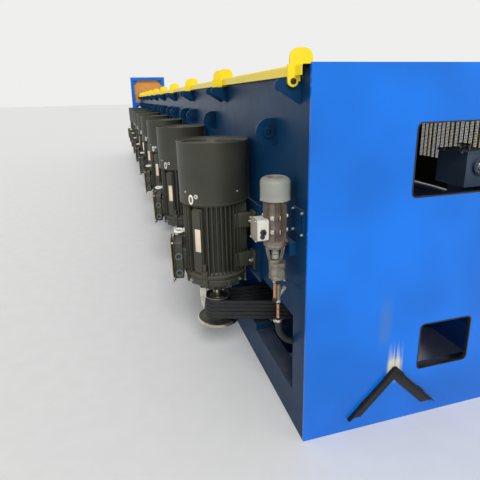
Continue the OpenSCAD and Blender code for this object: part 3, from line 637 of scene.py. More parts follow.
def stator(bm):
    """Finned housing with its end rings, arched name panel, feet and foot webs."""
    low, high = STATOR_LOW, COWL_LOW
    turned(bm, [(0, low)] + spots("1,0 2,2 2,15 -2,19 -20,26 -26,36", FIN_R, low)
           + spots("-26,-14 -6,-10 -2,-6 -2,12", FIN_R, high) + [(0, high + 0.012)], steps=96)
    for k in range(FINS):
        angle = PANEL_TURN + (k + 0.5) * 360 / FINS
        if clear_of(angle, PANEL_TURN, 12) and clear_of(angle, BOX_TURN, 12):
            spun(bm, angle, block, (FIN_FOOT_R - 0.004, -0.0042, low + 0.030),
                 (FIN_R, 0.0042, high + 0.004), 0.0026)
    tall, middle = (high - low) * 1000 - 55, (low + high + 0.015) / 2
    plate(bm, outward(FIN_FOOT_R - 0.012, PANEL_TURN, middle), 68, tall, 22, 0, 34, 4, 3)
    plate(bm, outward(FIN_FOOT_R, PANEL_TURN, middle), 56, tall - 14, 18, 0, 30, 3)
    for turn in LUG_TURNS:
        spun(bm, turn, block, *spots("-26,-20,2 5,20,46", FIN_R, 0, low), 0.004)
        spun(bm, turn, block, *spots("-26,-11,36 1,11,90", FIN_R, 0, low), 0.005)
    for foot_x, web_x in ((-0.194, -0.158), (0.124, 0.128)):
        for z in (low + 0.040, high - 0.160):
            block(bm, *spots("0,-20,0 70,0,110", foot_x, FOOT_Y, z), 0.004)
            block(bm, *spots("0,-130,12 30,-12,98", web_x, FOOT_Y, z), 0.006)


def drum(bm):
    """The housing's skin between the fins, in the near-black copy of the motor paint: painted shade in the
    gaps between the fins.
    """
    radius = FIN_FOOT_R + 0.0006
    turned(bm, spots("-4,36 0,37", radius, STATOR_LOW) + spots("0,-15 -4,-14", radius, COWL_LOW), steps=96)


def shield(bm):
    """Drive-end shield: a dished cover with ribs, a bearing hub, an outer rim and bolt lugs."""
    low, high = SHIELD_LOW, STATOR_LOW
    turned(bm, spots("34,36 34,4 40,1 60,0 75,1 78,4 79,18 84,27 110,36 145,50 168,62 180,72", 0, low)
           + spots("-1,79 0,84", RIM_R, low) + spots("0,-14 -3,-11 -3,-4 0,-2 0,0", RIM_R, high), steps=96)
    for k in range(12):
        web(bm, k * 30 + 11, spots("72,14 84,12 166,50 168,76 72,76", 0, low), 0.004, 0.002)
    for turn in LUG_TURNS:
        spun(bm, turn, block, (RIM_R - 0.026, -0.020, low + 0.070),
             (RIM_R + 0.010, 0.020, high - 0.001), 0.005)
        spun(bm, turn + 45, block, (RIM_R - 0.012, -0.012, low + 0.072),
             (RIM_R + 0.006, 0.012, high - 0.016), 0.004)


def shield_tab(bm):
    """Bent pale sheet that hangs under the shield beside the pulley, ending in a point."""
    outline = spots("-103,36 -105,-20 -104,-62 -97,-100 -88,-136 -85,-128 -75,-80 -67,-35 -64,24", 0,
                    SHIELD_LOW)
    fold = spots("-90,34 -91,-115 -86,-115 -83,30", 0, SHIELD_LOW)
    placed(bm, outward(0.052, TAB_TURN, 0), slab, outline, 0, 0.003, 0.0008)
    placed(bm, outward(0.054, TAB_TURN, 0), slab, fold, 0, 0.003, 0.001)


def eye_bolt(bm):
    """Lifting eye on its collar, lying almost flat beside the cable box."""
    z = STATOR_LOW + 0.268
    tilt = Vector((0.14, 0.02, 1.0)).normalized()
    ring(bm, at(turn=EYE_TURN) @ Vector((FIN_R + 0.029, 0, z)), tilt, 0.0235, 0.0068, 40, 12)
    spun(bm, EYE_TURN, rod, (FIN_R - 0.012, 0, z), (FIN_R + 0.004, 0, z), 0.0085, 16)
    spun(bm, EYE_TURN, rod, (FIN_R - 0.008, 0, z), (FIN_R - 0.001, 0, z), 0.0150, 24, None, 0.001)


def cable_box(bm):
    """Cable box on its neck, with a rim for its cover."""
    middle = BOX_Z + BOX_H / 2
    spun(bm, BOX_TURN, block, *spots("-38,-55,55 4,55,185", BOX_FACE_R, 0, BOX_Z), 0.008, 3)
    plate(bm, outward(BOX_FACE_R, BOX_TURN, middle), 150, BOX_H * 1000, 14, 0, 50, 4, 3)
    plate(bm, outward(BOX_FACE_R + 0.049, BOX_TURN, middle), 172, BOX_H * 1000 + 22, 18, 0, 6, 1.5)


def box_lid(bm):
    """Thin cover sheet that stands a little off the cable box."""
    outline = [(x + 0.003 * math.sin(y * 34), y) for x, y in rounded(0.170, BOX_H + 0.036, 0.016)]
    ajar = at(turn=BOX_TURN) @ Matrix.Rotation(math.radians(1.5), 4, "Y")
    place = ajar @ standing((FIN_R + 0.054, -0.004, BOX_Z + BOX_H / 2), X_AXIS)
    placed(bm, place, slab, outline, 0, 0.003, 0.0008)


def name_plate(bm):
    """Bare plate on the arched panel."""
    place = outward(FIN_R + 0.0035, PANEL_TURN, COWL_LOW - 0.20325) @ at(0.0085)
    plate(bm, place, 37, 134.5, 3, 0, 1.6, 0.5)


def motor_fasteners(bm):
    """Bolts and screws of one motor."""
    for turn in LUG_TURNS:
        stamp(bm, BOLT_10, downward(0.186, turn, SHIELD_LOW + 0.0705))
    for turn in (-64, 34):
        stamp(bm, BOLT_10, outward(FIN_R - 0.0065, turn, STATOR_LOW - 0.022))
    for k in range(4):
        stamp(bm, SCREW_8, downward(0.066, 20 + 90 * k, SHIELD_LOW + 0.0005))
        stamp(bm, SCREW_8, outward(COWL_R - 0.0047, 28 + 90 * k, COWL_LOW + 0.075))
    for x in (-0.176, 0.176):
        for z in (0.095, 0.335):
            stamp(bm, BOLT_16, facing((x, FOOT_Y - 0.020, STATOR_LOW + z), -Y_AXIS))
    for y in (-0.074, 0.074):
        for z in (0.006, BOX_H - 0.006):
            stamp(bm, SCREW_8, outward(FIN_R + 0.0625, BOX_TURN, BOX_Z + z) @ at(y))


for name, finish, maker, hidden, *sizes in (
        ("fan_cowls", MOTOR_PAINT, cowl, ["motor_cowls"]),
        ("cooling_fans", BLACK_PLASTIC, fan, []),
        ("finned_stators", MOTOR_PAINT, stator, ["motor_stators"]),
        ("stator_drums", PAINTED_SHADE_MOTOR_PAINT, drum, []),
        ("drive_end_shields", MOTOR_PAINT, shield, ["motor_shields"]),
        ("shield_tabs", PALE_METAL, shield_tab, []),
        ("cable_boxes", MOTOR_PAINT, cable_box, ["terminal_boxes"]),
        ("cable_box_glands", GLAND_PAINT, studs, [], GLANDS, "13.5,-2 13.5,6.5 15,8 20.5,8 23,6 23,-3"),
        # Black plastic discs sunk in the cable box's glands stand for the shade in their holes: painted
        # shade.
        ("cable_gland_rubbers", BLACK_PLASTIC, studs, [], GLANDS, "0,1 6,1 8,2.4 13.7,3 13.7,-2", 32),
        ("cable_box_lids", LID_PAINT, box_lid, []),
        ("motor_eyes", EYE_STEEL, eye_bolt, ["lifting_eyes"]),
        ("bare_motor_plates", CREAM_PLATE, name_plate, []),
        ("cowl_plate_rims", EYE_STEEL, studs, [], SEALS, "600,2.4 640,4.2 940,4.2 1000,3.4 1000,0", 40),
        ("cowl_plate_middles", SEAL_GREY, studs, [], SEALS, "0,3.4 300,3.4 360,2.8 700,2.8 700,1", 40),
        ("motor_bolts", ZINC, motor_fasteners, [])):
    copies(name, finish, MOTORS, maker, *sizes, replaces=hidden)

# Belt drive

BELT_LOW, BELT_HIGH = (corner.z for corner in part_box("drive_belts"))
BELTS = 5
BELT_W = 0.022
BELT_PITCH = (BELT_HIGH - BELT_LOW - BELT_W) / (BELTS - 1)
BELT_T = 0.016
DRIVE_R, DRIVEN_R = 0.085, 0.155
DRIVEN = [Vector((x + 0.03, WALL_Y + 0.4)) for x in BLOCK_X]
SKIRT_R = 0.133
SKIRT_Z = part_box("drive_pulley_1")[0].z
DISC_Z = BELT_HIGH + 0.006


def drive_pulley(bm):
    """Grooved rim on a wide skirt, with a dished disc on top round the shaft."""
    grooves = [point for k in range(BELTS) for point in
               spots("-4,-11.6 -18,-8 -18,8 -4,11.6", DRIVE_R, BELT_LOW + BELT_W / 2 + k * BELT_PITCH)]
    turned(bm, spots("0,12 70,12", 0, SKIRT_Z)
           + spots("-16,1 -3,0 0,2 0,13 -4,16 -20,19", SKIRT_R, SKIRT_Z)
           + spots("2,-8 -4,-4", DRIVE_R, BELT_LOW) + grooves
           + spots("-4,1.5 -3,3 -3,6 -6,7", DRIVE_R, BELT_HIGH)
           + spots("70,1 66,-4 50,-5 47,-1 44,0 32,0 30.2,1 29.5,4", 0, DISC_Z)
           + spots("29.5,28 0,28", 0, SHIELD_LOW), steps=72)
    for k in range(4):
        spun(bm, k * 90 + 20, rod, (0.058, 0, DISC_Z - 0.006), (0.058, 0, DISC_Z + 0.003), 0.006, 6)


def bright_edges_and_shaft_highlights(bm):
    """Polished edges of the skirt and of the top disc, and two pale strips on the dark shaft: a key and a
    thin flat, both made pale as painted highlights of the shaft.
    """
    turned(bm, spots("-6,-.6 -2,-.6 .8,2 .8,13 -3.5,16.6 -9,17.6", SKIRT_R, SKIRT_Z), steps=72)
    turned(bm, spots("-4,-2.6 -2.3,-2.2 -2.3,.2 -5.8,1.6 -8,1.4", DRIVE_R, DISC_Z), steps=72)
    # The two pale strips on the shaft are painted highlights.
    for turn, half in ((-20, 0.0062), (-56, 0.0026)):
        spun(bm, turn, block, (0.024, -half, DISC_Z + 0.003), (0.0330, half, SHIELD_LOW - 0.003), 0.001)


def loop_points(start, end, start_r, end_r):
    """Points of a belt's back round two wheels, straight between them."""
    run = end - start
    way = math.atan2(run.y, run.x)
    tilt = math.acos((start_r - end_r) / run.length)
    points = []
    for centre, radius, first, turn in ((start, start_r, way + tilt, math.tau - 2 * tilt),
                                        (end, end_r, way - tilt, 2 * tilt)):
        steps = round(math.degrees(turn) / 7)
        points += [centre + radius * Vector((math.cos(first + turn * k / steps),
                                             math.sin(first + turn * k / steps)))
                   for k in range(steps + 1)]
    return points


def belt(bm, points, low):
    """One closed belt: its back is a band of faces, thickened inwards."""
    part = bmesh.new()
    verts = [part.verts.new((p.x, p.y, low)) for p in points]
    edges = [part.edges.new(pair) for pair in zip(verts, verts[1:] + verts[:1])]
    made = bmesh.ops.extrude_edge_only(part, edges=edges)["geom"]
    raised = [item for item in made if isinstance(item, bmesh.types.BMVert)]
    bmesh.ops.translate(part, vec=(0, 0, BELT_W), verts=raised)
    bmesh.ops.recalc_face_normals(part, faces=part.faces)
    face = min(part.faces, key=lambda item: item.calc_center_median().y)
    if face.normal.y > 0:
        bmesh.ops.reverse_faces(part, faces=part.faces)
    bmesh.ops.solidify(part, geom=part.faces[:], thickness=BELT_T)
    bmesh.ops.recalc_face_normals(part, faces=part.faces)
    soften(part, part.verts, 0.0016, 1)
    join(bm, part)


PULLEY, EDGES = shape(drive_pulley), shape(bright_edges_and_shaft_highlights)
for i, (x, y) in zip(BLOCKS, MOTORS):
    for name, made, material, replaced in (("grooved_pulley", PULLEY, TURNED_IRON, [f"drive_pulley_{i}"]),
                                           ("bright_pulley_rims_and_shaft_highlights", EDGES, BRIGHT_RIM, [])):
        bm = bmesh.new()
        stamp(bm, made, at(x, y))
        piece(f"{name}_{i}", bm, material, f"pulley_{i}", replaced)

bm = bmesh.new()
for start, end in zip(MOTORS, DRIVEN):
    for k in range(BELTS):
        slack = 0.0006 * math.sin(k * 2.1)
        belt(bm, loop_points(start, end, DRIVE_R + slack, DRIVEN_R + slack), BELT_LOW + k * BELT_PITCH)
piece("narrow_v_belts", bm, BELT_RUBBER, replaces=["drive_belts"])

# Pump unit

STRAINER_LOW, GEAR_LOW = (corner.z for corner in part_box("pump_strainer"))
BELL_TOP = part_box("pump_body")[1].z
CAP_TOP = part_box("pump_motor")[1].z
BELL_LOW = GEAR_LOW + 0.082
RIBS_TOP = BELL_TOP + 0.198
PUMP = [(NEAR_X - 0.165, WALL_Y - 0.085)]
GEAR_IN = 0.012
WINDOW_TURN, WINDOW_WIDE = -18, 92
PIPE_IN = 0.017
ELBOW_Z = STRAINER_LOW + 0.084
BANDS = (-34, 66, 146, -124)
BOSS_Z = (BELL_TOP + 0.061, RIBS_TOP - 0.073)
TERMINAL_Z = BELL_TOP + 0.071
TERMINAL = standing((0, -0.044, TERMINAL_Z), -Y_AXIS)


def pump_ribs(bm):
    """Ribbed housing of the pump's motor: four smooth bands with close fins between them."""
    low, high = BELL_TOP, RIBS_TOP
    turned(bm, spots("0,0 50,0 53,2 53,12 49,15 45.5,18", 0, low)
           + spots("45.5,-10 50,-8 50,4 0,4", 0, high))
    for k in range(45):
        if all(clear_of(k * 8, band, 13) for band in BANDS):
            spun(bm, k * 8, block, (0.043, -0.0013, low + 0.013), (0.0538, 0.0013, high + 0.002), 0.0006, 1)
    for band in BANDS:
        spun(bm, band, block, (0.040, -0.0115, low + 0.010), (0.0520, 0.0115, high + 0.002), 0.004, 3)
        spun(bm, band + 4, block, *spots("44,-10,-2 57,10,13", 0, 0, low), 0.003)


def pump_bosses(bm):
    """Bright square bosses with their tapped holes, two in a band, and two slim ones between bands."""
    for z in BOSS_Z:
        for band in BANDS:
            plate(bm, outward(0.0500, band, z), 17, 18, 3, 0, 5, 1)
            studs(bm, [outward(0.0550, band, z)], "0,1 3.4,1 4,3.4 7,3.4 7.8,2.4 7.8,-2", 20)
        plate(bm, outward(0.0520, 4, z), 4, 19, 1.5, 0, 4, 0.6)


def pump_cap(bm):
    """Domed fan cap with a rolled foot and a sunk round top."""
    dome = [(0.041 + 0.026 * math.cos(a), CAP_TOP - 0.026 + 0.026 * math.sin(a))
            for a in (math.pi / 2 * k / 8 for k in range(9))]
    turned(bm, spots("48,-1 66,0 67.2,1.4 67.2,7 66.4,8.4 66.4,30", 0, RIBS_TOP) + dome
           + spots("37,-.4 35,-2 34.5,-7 0,-7", 0, CAP_TOP))


def pump_grille(bm):
    """Dark ringed grille in the sunk top of the cap."""
    top = CAP_TOP - 0.0045
    turned(bm, spots("0,-2 34,-2 34,-4 0,-4", 0, top), steps=40)
    for k in range(5):
        ring(bm, (0, 0, top), Z_AXIS, 0.006 + k * 0.0064, 0.0011, steps=28, sides=6)
    for k in range(3):
        spun(bm, k * 60, rod, (-0.033, 0, top), (0.033, 0, top), 0.0011, 6)


def terminal_box(bm):
    """Pale box on the pump motor's side."""
    plate(bm, TERMINAL, 80, 98, 10, 0, 53, 2)
    placed(bm, TERMINAL, block, *spots("-30,-40,-6 30,40,4"), 0.002)


def terminal_lid(bm):
    """Grey lid of the terminal box, with a step round its edge."""
    plate(bm, TERMINAL, 86, 104, 12, 53.5, 58, 1)
    plate(bm, TERMINAL, 70, 88, 10, 57, 60.5, 1)


def pump_gland(bm):
    """Black cable gland, without its cable, on the side towards the near end."""
    place = facing((0.0395, -0.070, BELL_TOP + 0.064), X_AXIS)
    placed(bm, place, rod, ORIGIN, (0, 0, 0.005), 0.0150, 6, edge=0.0008)
    studs(bm, [place], "0,8 6,8 6.6,15 10,15 12.4,11 12.8,4", 24)
    placed(bm, facing((0.0395, -0.074, BELL_TOP + 0.044), X_AXIS), rod, ORIGIN, (0, 0, 0.007), 0.0105, 20,
           edge=0.001)


def pump_bell(bm):
    """Bell under the motor, with an open window on its near side."""
    turned(bm, spots("0,-1 28.5,-1 29,0 30.5,16 0,16", 0, BELL_LOW))
    turned(bm, spots("0,-24 43,-24 43,-14 51,-12 52,-11 52,0 0,0", 0, BELL_TOP))
    wall = (spots("30.5,16", 0, BELL_LOW) + spots("43,-24 38,-24", 0, BELL_TOP)
            + spots("25.5,16", 0, BELL_LOW))
    swept(bm, wall, WINDOW_TURN + WINDOW_WIDE / 2, 360 - WINDOW_WIDE)
    for k in range(4):
        web(bm, WINDOW_TURN + 68 + k * 74,
            spots("26,14 34,14", 0, BELL_LOW) + spots("48,-18 40,-18", 0, BELL_TOP), 0.0025, 0.001)


def gear_pump(bm):
    """Gear pump of three plates round a thinner core, with its side port."""
    flat = spots("36,22 22,36 -22,36 -36,22 -36,-22 -22,-36 22,-36 36,-22")
    high = BELL_LOW - GEAR_LOW
    for low, high, share, edge in ((0, 0.022, 1, 0.0022), (0.0225, 0.060, 29 / 30, 0.0022),
                                   (0.0605, high, 1, 0.0022), (0.002, high - 0.002, 0.94, 0)):
        slab(bm, [(x * share, y * share + GEAR_IN) for x, y in flat], GEAR_LOW + low, GEAR_LOW + high, edge)
    studs(bm, [facing((0.034, GEAR_IN, GEAR_LOW + 0.041), X_AXIS)],
          "0,9 9.5,9 10.5,15.5 16.5,15.5 18,14 18,3 20.5,0 0,0", 36)


def coupling(bm):
    """Pale jaw coupling behind the bell's window."""
    low = BELL_LOW + 0.018
    turned(bm, spots("0,0 17,0 18.6,1.2 18.6,20 17,21.5 17,24.5 18.6,26 18.6,50 0,50", 0, low), steps=32)
    for k in range(6):
        spun(bm, k * 60 + 10, block, *spots("14,-3,18 19,3,28", 0, 0, low), 0.0006)


def coupling_ring(bm):
    """Dark spider of the coupling and the black shaft seal under it."""
    turned(bm, spots("0,40.3 18.5,40.3 19.4,41.5 18.5,42.9 0,42.9", 0, BELL_LOW), steps=32)
    turned(bm, spots("10,15.5 20,15.5 20.5,16.5 20,18.9 10,18.9", 0, BELL_LOW), steps=32)


def pump_bolts(bm):
    """Bolts of the bell, the gear pump, the cap and the terminal box's lid."""
    for band in BANDS:
        stamp(bm, SCREW_5, downward(0.0500, band + 4, BELL_TOP - 0.0015))
        stamp(bm, SCREW_5, outward(0.0668, band + 40, RIBS_TOP + 0.0045))
    for x in (-0.026, 0.026):
        for y in (-0.014, 0.038):
            stamp(bm, SCREW_8, downward(x, 0, GEAR_LOW, y))
    for x in (-0.036, 0.036):
        for z in (-0.045, 0.045):
            stamp(bm, SCREW_5, standing((x, -0.1018, TERMINAL_Z + z), -Y_AXIS))


def copper_tubes(bm):
    """Copper nipple under the pump and the copper tube down to the hose."""
    turned(bm, spots("0,1 8,1", 0, GEAR_LOW) + spots("8,18 0,18", 0, ELBOW_Z), steps=28)
    turned(bm, spots("0,0 8,0", 0, ELBOW_Z) + spots("8,4 9.6,2 9.6,-6 0,-6", 0, STRAINER_LOW),
           (0, PIPE_IN, 0), steps=28)


def y_strainer(bm):
    """Y-shaped strainer, with its cleaning branch up towards the wall."""
    lean = math.radians(34)
    way = Vector((0, math.sin(lean), math.cos(lean)))
    foot = Vector((0, PIPE_IN, ELBOW_Z + 0.022))
    turned(bm, spots("0,0 10,0 11,4 11,70 9.5,78 9.5,88 0,88"), (0, PIPE_IN, ELBOW_Z), steps=32)
    rod(bm, foot, foot + way * 0.050, 0.0092, 28)
    rod(bm, foot + way * 0.046, foot + way * 0.060, 0.0112, 6, edge=0.0008)
    rod(bm, (0, PIPE_IN, ELBOW_Z + 0.064), (0, PIPE_IN, ELBOW_Z + 0.078), 0.0128, 6, edge=0.0008)


def pipe_nuts(bm):
    """Bright nuts under the strainer and over the hose, and the hose clamp."""
    low = STRAINER_LOW - 0.022
    rod(bm, (0, PIPE_IN, ELBOW_Z - 0.004), (0, PIPE_IN, ELBOW_Z + 0.008), 0.0132, 6, edge=0.0008)
    turned(bm, spots("14,0 16.2,0 16.6,1 16.6,11 16.2,12 14,12"), (0, PIPE_IN, low), steps=32)
    block(bm, *spots("-6,-23.5,1 8,-15,11", 0, PIPE_IN, low), 0.001)


def dark_rings(bm):
    """Black elbow between the tubes and the black joint rings on them."""
    rod(bm, (0, -0.0100, ELBOW_Z + 0.009), (0, PIPE_IN, ELBOW_Z + 0.009), 0.0092, edge=0.002)
    for y, z, radius, tube in ((0, ELBOW_Z + 0.019, 0.0072, 0.0028), (0, GEAR_LOW - 0.026, 0.0076, 0.0014),
                               (0, GEAR_LOW - 0.002, 0.0080, 0.0030),
                               (PIPE_IN, ELBOW_Z - 0.009, 0.0074, 0.0036),
                               (PIPE_IN, STRAINER_LOW + 0.045, 0.0074, 0.0014)):
        ring(bm, (0, y, z), Z_AXIS, radius, tube, 24, 8)


for name, finish, maker, *hidden in (
        ("pump_motor_ribs", PUMP_RIBS, pump_ribs, "pump_motor"),
        ("pump_fan_cap", PUMP_PAINT, pump_cap),
        ("pump_cap_grille", LID_GREY, pump_grille),
        ("pump_bell", PUMP_CASTING, pump_bell, "pump_body"),
        ("gear_pump", PUMP_CASTING, gear_pump),
        ("pump_bosses", PALE_METAL, pump_bosses),
        ("pump_terminal_box", PALE_PAINT, terminal_box),
        ("pump_terminal_lid", LID_GREY, terminal_lid),
        ("pump_cable_gland", BLACK_PLASTIC, pump_gland),
        ("pump_coupling", PUMP_PAINT, coupling),
        ("pump_coupling_spider", BLACK_PLASTIC, coupling_ring),
        ("pump_screws", ZINC, pump_bolts),
        ("copper_tubes", COPPER, copper_tubes, "pump_strainer"),
        ("y_strainer", STRAINER_CASTING, y_strainer),
        ("pipe_nuts_and_clamp", PALE_METAL, pipe_nuts),
        ("black_pipe_joints", BLACK_STEEL, dark_rings)):
    copies(name, finish, PUMP, maker, replaces=hidden)

# Hinges, lugs and welds on the rear wall

HINGE_Y = WALL_Y - 0.040
HINGE_Z = FRAME_TOP - 0.066
ARM_INSET, ARM_T = 0.070, 0.012
HOOD_BOX = {i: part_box(f"guard_hood_{i}") for i in BLOCKS}
LUG_Z = COWL_HIGH + 0.063
LUG_X = [x - along for k, x in enumerate(BOUND_X[:-1])
         for along in ((0.320,) if k == 0 else (0.320, 1.160))]


def arm_sides(i):
    """The X of a hood's two arms, each with the side that looks away from its bracket."""
    low, high = HOOD_BOX[i]
    return [(low.x + ARM_INSET, -1), (high.x - ARM_INSET, 1)]


def bead(bm, start, end, width=0.004):
    """A weld bead: a row of small flattened drops along a line."""
    start, end = Vector(start), Vector(end)
    run = end - start
    count = max(2, round(run.length / (width * 1.5)))
    for k in range(count):
        middle = start + run * (k + 0.5) / count
        size = width * random.uniform(0.85, 1.15)
        bmesh.ops.create_icosphere(bm, subdivisions=1, radius=size, matrix=Matrix.Translation(middle))


ARMS = [(x, side) for i in BLOCKS for x, side in arm_sides(i)]
bm = bmesh.new()
for x, side in ARMS:
    turned(bm, spots("0,6 8.5,6 11.5,4.5 12,1 12,0 0,0"),
           (x + side * (ARM_T / 2 + 0.0008), HINGE_Y, HINGE_Z), (side, 0, 0), 28)
piece("hinge_pin_heads", bm, BLACK_STEEL)

bm = bmesh.new()
for x in LUG_X:
    stamp(bm, BOLT_10, standing((x + 0.0215, WALL_Y - 0.034, LUG_Z), X_AXIS))
piece("lug_bolts", bm, PAINTED_SHADE_BLUE)

bm = bmesh.new()
for x in LUG_X:
    for place in (x - 0.0005, x + 0.0205):
        bead(bm, (place, WALL_Y - 0.001, LUG_Z - 0.060), (place, WALL_Y - 0.001, LUG_Z + 0.060), 0.0045)
for x, side in ARMS:
    for edge in (ARM_T / 2 + 0.005, ARM_T / 2 + 0.017):
        place = x - side * edge
        bead(bm, (place, WALL_Y - 0.001, HINGE_Z - 0.085), (place, WALL_Y - 0.001, HINGE_Z + 0.008))
piece("wall_weld_beads", bm, PAINTED_SHADE_BLUE)

# Inverted V of two angle irons on the near end plate, wide side flat on it
bm = bmesh.new()
ON_PLATE = standing((NEAR_X, ANGLE_Y, 0), X_AXIS)
for text, stand in (("0,0 -250,-250 -176,-250 0,-74 176,-250 250,-250", 0.006),
                    ("0,0 -250,-250 -242,-250 0,-8 242,-250 250,-250", 0.022)):
    placed(bm, ON_PLATE, slab, spots(text, 0, ANGLE_TOP), -0.001, stand, 0.001)
piece("welded_angle", bm, BLACK_STEEL, replaces=["weld_angle"])

bm = bmesh.new()
for side in (-1, 1):
    for start, end in ((0.006, 0.060), (0.150, 0.190)):
        bead(bm, (NEAR_X + 0.002, ANGLE_Y + side * start, ANGLE_TOP - start + 0.003),
             (NEAR_X + 0.002, ANGLE_Y + side * end, ANGLE_TOP - end + 0.003), 0.0035)
piece("angle_weld_beads", bm, BLACK_STEEL)

# Hoods

GRILLE_L, GRILLE_H = 0.760, 0.360
HOOD_T = 0.0030
NET_STEP, NET_WIRE, NET_LAP = 0.0095, 0.0019, 0.008
HOOD_TOP, HOOD_BOTTOM = FRAME_TOP - 0.002, DECK_Z + 0.010
HOOD_MIDDLE = (HOOD_BOTTOM + HOOD_TOP) / 2


def border(bm, width, height, rim, low, high, radius=0.012):
    """A flat frame with an open middle, raised along Z."""
    outer = rounded(width, height, radius)
    inner = rounded(width - 2 * rim, height - 2 * rim, max(radius - rim, 0.003))
    rows = [[bm.verts.new((x, y, z)) for x, y in line]
            for line, z in ((outer, low), (outer, high), (inner, high), (inner, low))]
    for near, far in zip(rows, rows[1:] + rows[:1]):
        for k in range(len(outer)):
            bm.faces.new((near[k - 1], near[k], far[k], far[k - 1]))
    bmesh.ops.recalc_face_normals(bm, faces=bm.faces)


def handle_bar(bm, middle, y, z, half, reach, leg, bar):
    """A bar handle on two legs, on a front that looks along Y. Its ends stand 7 mm past the legs."""
    for x in (middle - half, middle + half):
        rod(bm, (x, y - 0.001, z), (x, y + reach, z), *leg)
    rod(bm, (middle - half - 0.007, y + reach, z), (middle + half + 0.007, y + reach, z), *bar)


def hood_parts(i):
    """The trim, the screws, the net and the handle of one hood."""
    low, high = HOOD_BOX[i]
    middle, front = (low.x + high.x) / 2, high.y
    trim, screws, handle, net = (bmesh.new() for _ in range(4))
    placed(trim, standing((middle, front, HOOD_MIDDLE), Y_AXIS), border, GRILLE_L + 0.050, GRILLE_H + 0.050,
           0.022, -0.0006, 0.0022)
    y, z = front - 0.0045, HOOD_BOTTOM + 0.001
    rod(trim, (low.x + 0.004, y, z), (high.x - 0.004, y, z), 0.0055, 12)
    for side, x in ((-1, low.x + 0.060), (1, high.x - 0.060)):
        block(trim, (x - 0.012, front - 0.001, HOOD_BOTTOM + 0.050),
              (x + 0.012, front + 0.004, HOOD_TOP - 0.060), 0.003)
        block(trim, *spots("-45,50,-.5 45,110,3.5", x, WALL_Y, HOOD_TOP), 0.0012)
        for z in (HOOD_MIDDLE - GRILLE_H / 2 - 0.014, HOOD_MIDDLE + GRILLE_H / 2 + 0.014):
            for away in (GRILLE_L / 2 + 0.014, GRILLE_L / 6):
                stamp(screws, SCREW_8, standing((middle + side * away, front + 0.0020, z), Y_AXIS))
    for x, side in arm_sides(i):
        turned(trim, spots("12.5,1.4 19,1.4 20,.4 20,-1 12.5,-1"), (x + side * ARM_T / 2, HINGE_Y, HINGE_Z),
               (side, 0, 0), 32)
        for y in (0.066, 0.094):
            stamp(screws, SCREW_8, at(x - side * 0.030, WALL_Y + y, HOOD_TOP + 0.003))
    inner = front - HOOD_T - NET_WIRE
    left, foot = middle - GRILLE_L / 2, HOOD_MIDDLE - GRILLE_H / 2
    for k in range(round(GRILLE_L / NET_STEP) + 1):
        x = left + k * NET_STEP
        rod(net, (x, inner, foot - NET_LAP), (x, inner, foot + GRILLE_H + NET_LAP), NET_WIRE, 6)
    for k in range(round(GRILLE_H / NET_STEP) + 1):
        y, z = inner - NET_WIRE, foot + k * NET_STEP
        rod(net, (left - NET_LAP, y, z), (left + GRILLE_L + NET_LAP, y, z), NET_WIRE, 6)
    z = HOOD_BOTTOM + 0.075
    handle_bar(handle, middle, front, z, 0.075, 0.034, (0.007, 14, None, 0.001), (0.0085, 16, None, 0.002))
    feet = [facing((middle + x, front, z), Y_AXIS) for x in (-0.075, 0.075)]
    studs(handle, feet, "0,3 11,3 13,1 13,0", 20)
    for name, bm, finish in (("net", net, BLACK_STEEL), ("trim", trim, HOOD_PAINT),
                             ("screws", screws, ZINC), ("handle", handle, BLACK_PLASTIC)):
        piece(f"hood_{name}_{i}", bm, finish, f"hood_{i}")


for i in BLOCKS:
    hood_parts(i)

# End plates and front panels

OPENINGS = ((0.495, 0.600, DECK_Z + 0.194, 0.324), (0.615, 0.300, 0.274, 0.250))

bm = bmesh.new()
for x, out in ((NEAR_X, 1), (FAR_X, -1)):
    for inset, wide, low, tall in OPENINGS:
        centre = (x, WALL_Y + inset + wide / 2, low + tall / 2)
        placed(bm, standing(centre, (out, 0, 0)), border, wide + 0.006, tall + 0.006, 0.006, -0.0135,
               0.0016, 0.026)
piece("opening_edge_seals", bm, BLACK_PLASTIC)

bm = bmesh.new()
low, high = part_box("slotted_cover")
for x in (low.x + 0.010, high.x - 0.010):
    for z in (low.z + 0.010, high.z - 0.010):
        stamp(bm, SCREW_8, standing((x, low.y, z), -Y_AXIS))
piece("cover_screws", bm, ZINC)

bm, knobs = bmesh.new(), bmesh.new()
low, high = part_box("front_panels")
for far, near in zip(BOUND_X[1:], BOUND_X):
    left, right = far + 0.030, near - 0.030
    for x in (left, (left + right) / 2, right):
        for z in (low.z + 0.030, high.z - 0.030):
            stamp(bm, BOLT_10, standing((x, high.y, z), Y_AXIS))
    for x in ((left * 2 + right) / 3, (left + right * 2) / 3):
        handle_bar(knobs, x, high.y, high.z - 0.120, 0.055, 0.030, (0.006, 12), (0.0075, 14, None, 0.002))
piece("panel_bolts", bm, ZINC)
piece("panel_handles", knobs, BLACK_PLASTIC)

# Drawing blocks

CAPSTAN_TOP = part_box("capstans")[1].z
DIE_L, DIE_W, DIE_H, DIE_Y = 0.200, 0.150, 0.170, 0.280
DIE_TOP = DECK_Z + 0.180 + DIE_H
ROLLER_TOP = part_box("guide_rollers")[1].z


def bolt_circle(bm, kept, count, radius, z, first=0.0):
    """Upright bolts round a circle."""
    for k in range(count):
        stamp(bm, kept, at(turn=first + k * 360 / count) @ Matrix.Translation((radius, 0, z)))


def hub_bolts(bm):
    """Bolts on a capstan's hub, and the centre bolt."""
    bolt_circle(bm, BOLT_16, 8, 0.072, CAPSTAN_TOP)
    bolt_circle(bm, BOLT_20, 1, 0, CAPSTAN_TOP)
    bolt_circle(bm, SCREW_8, 12, 0.250, CAPSTAN_TOP, 8)


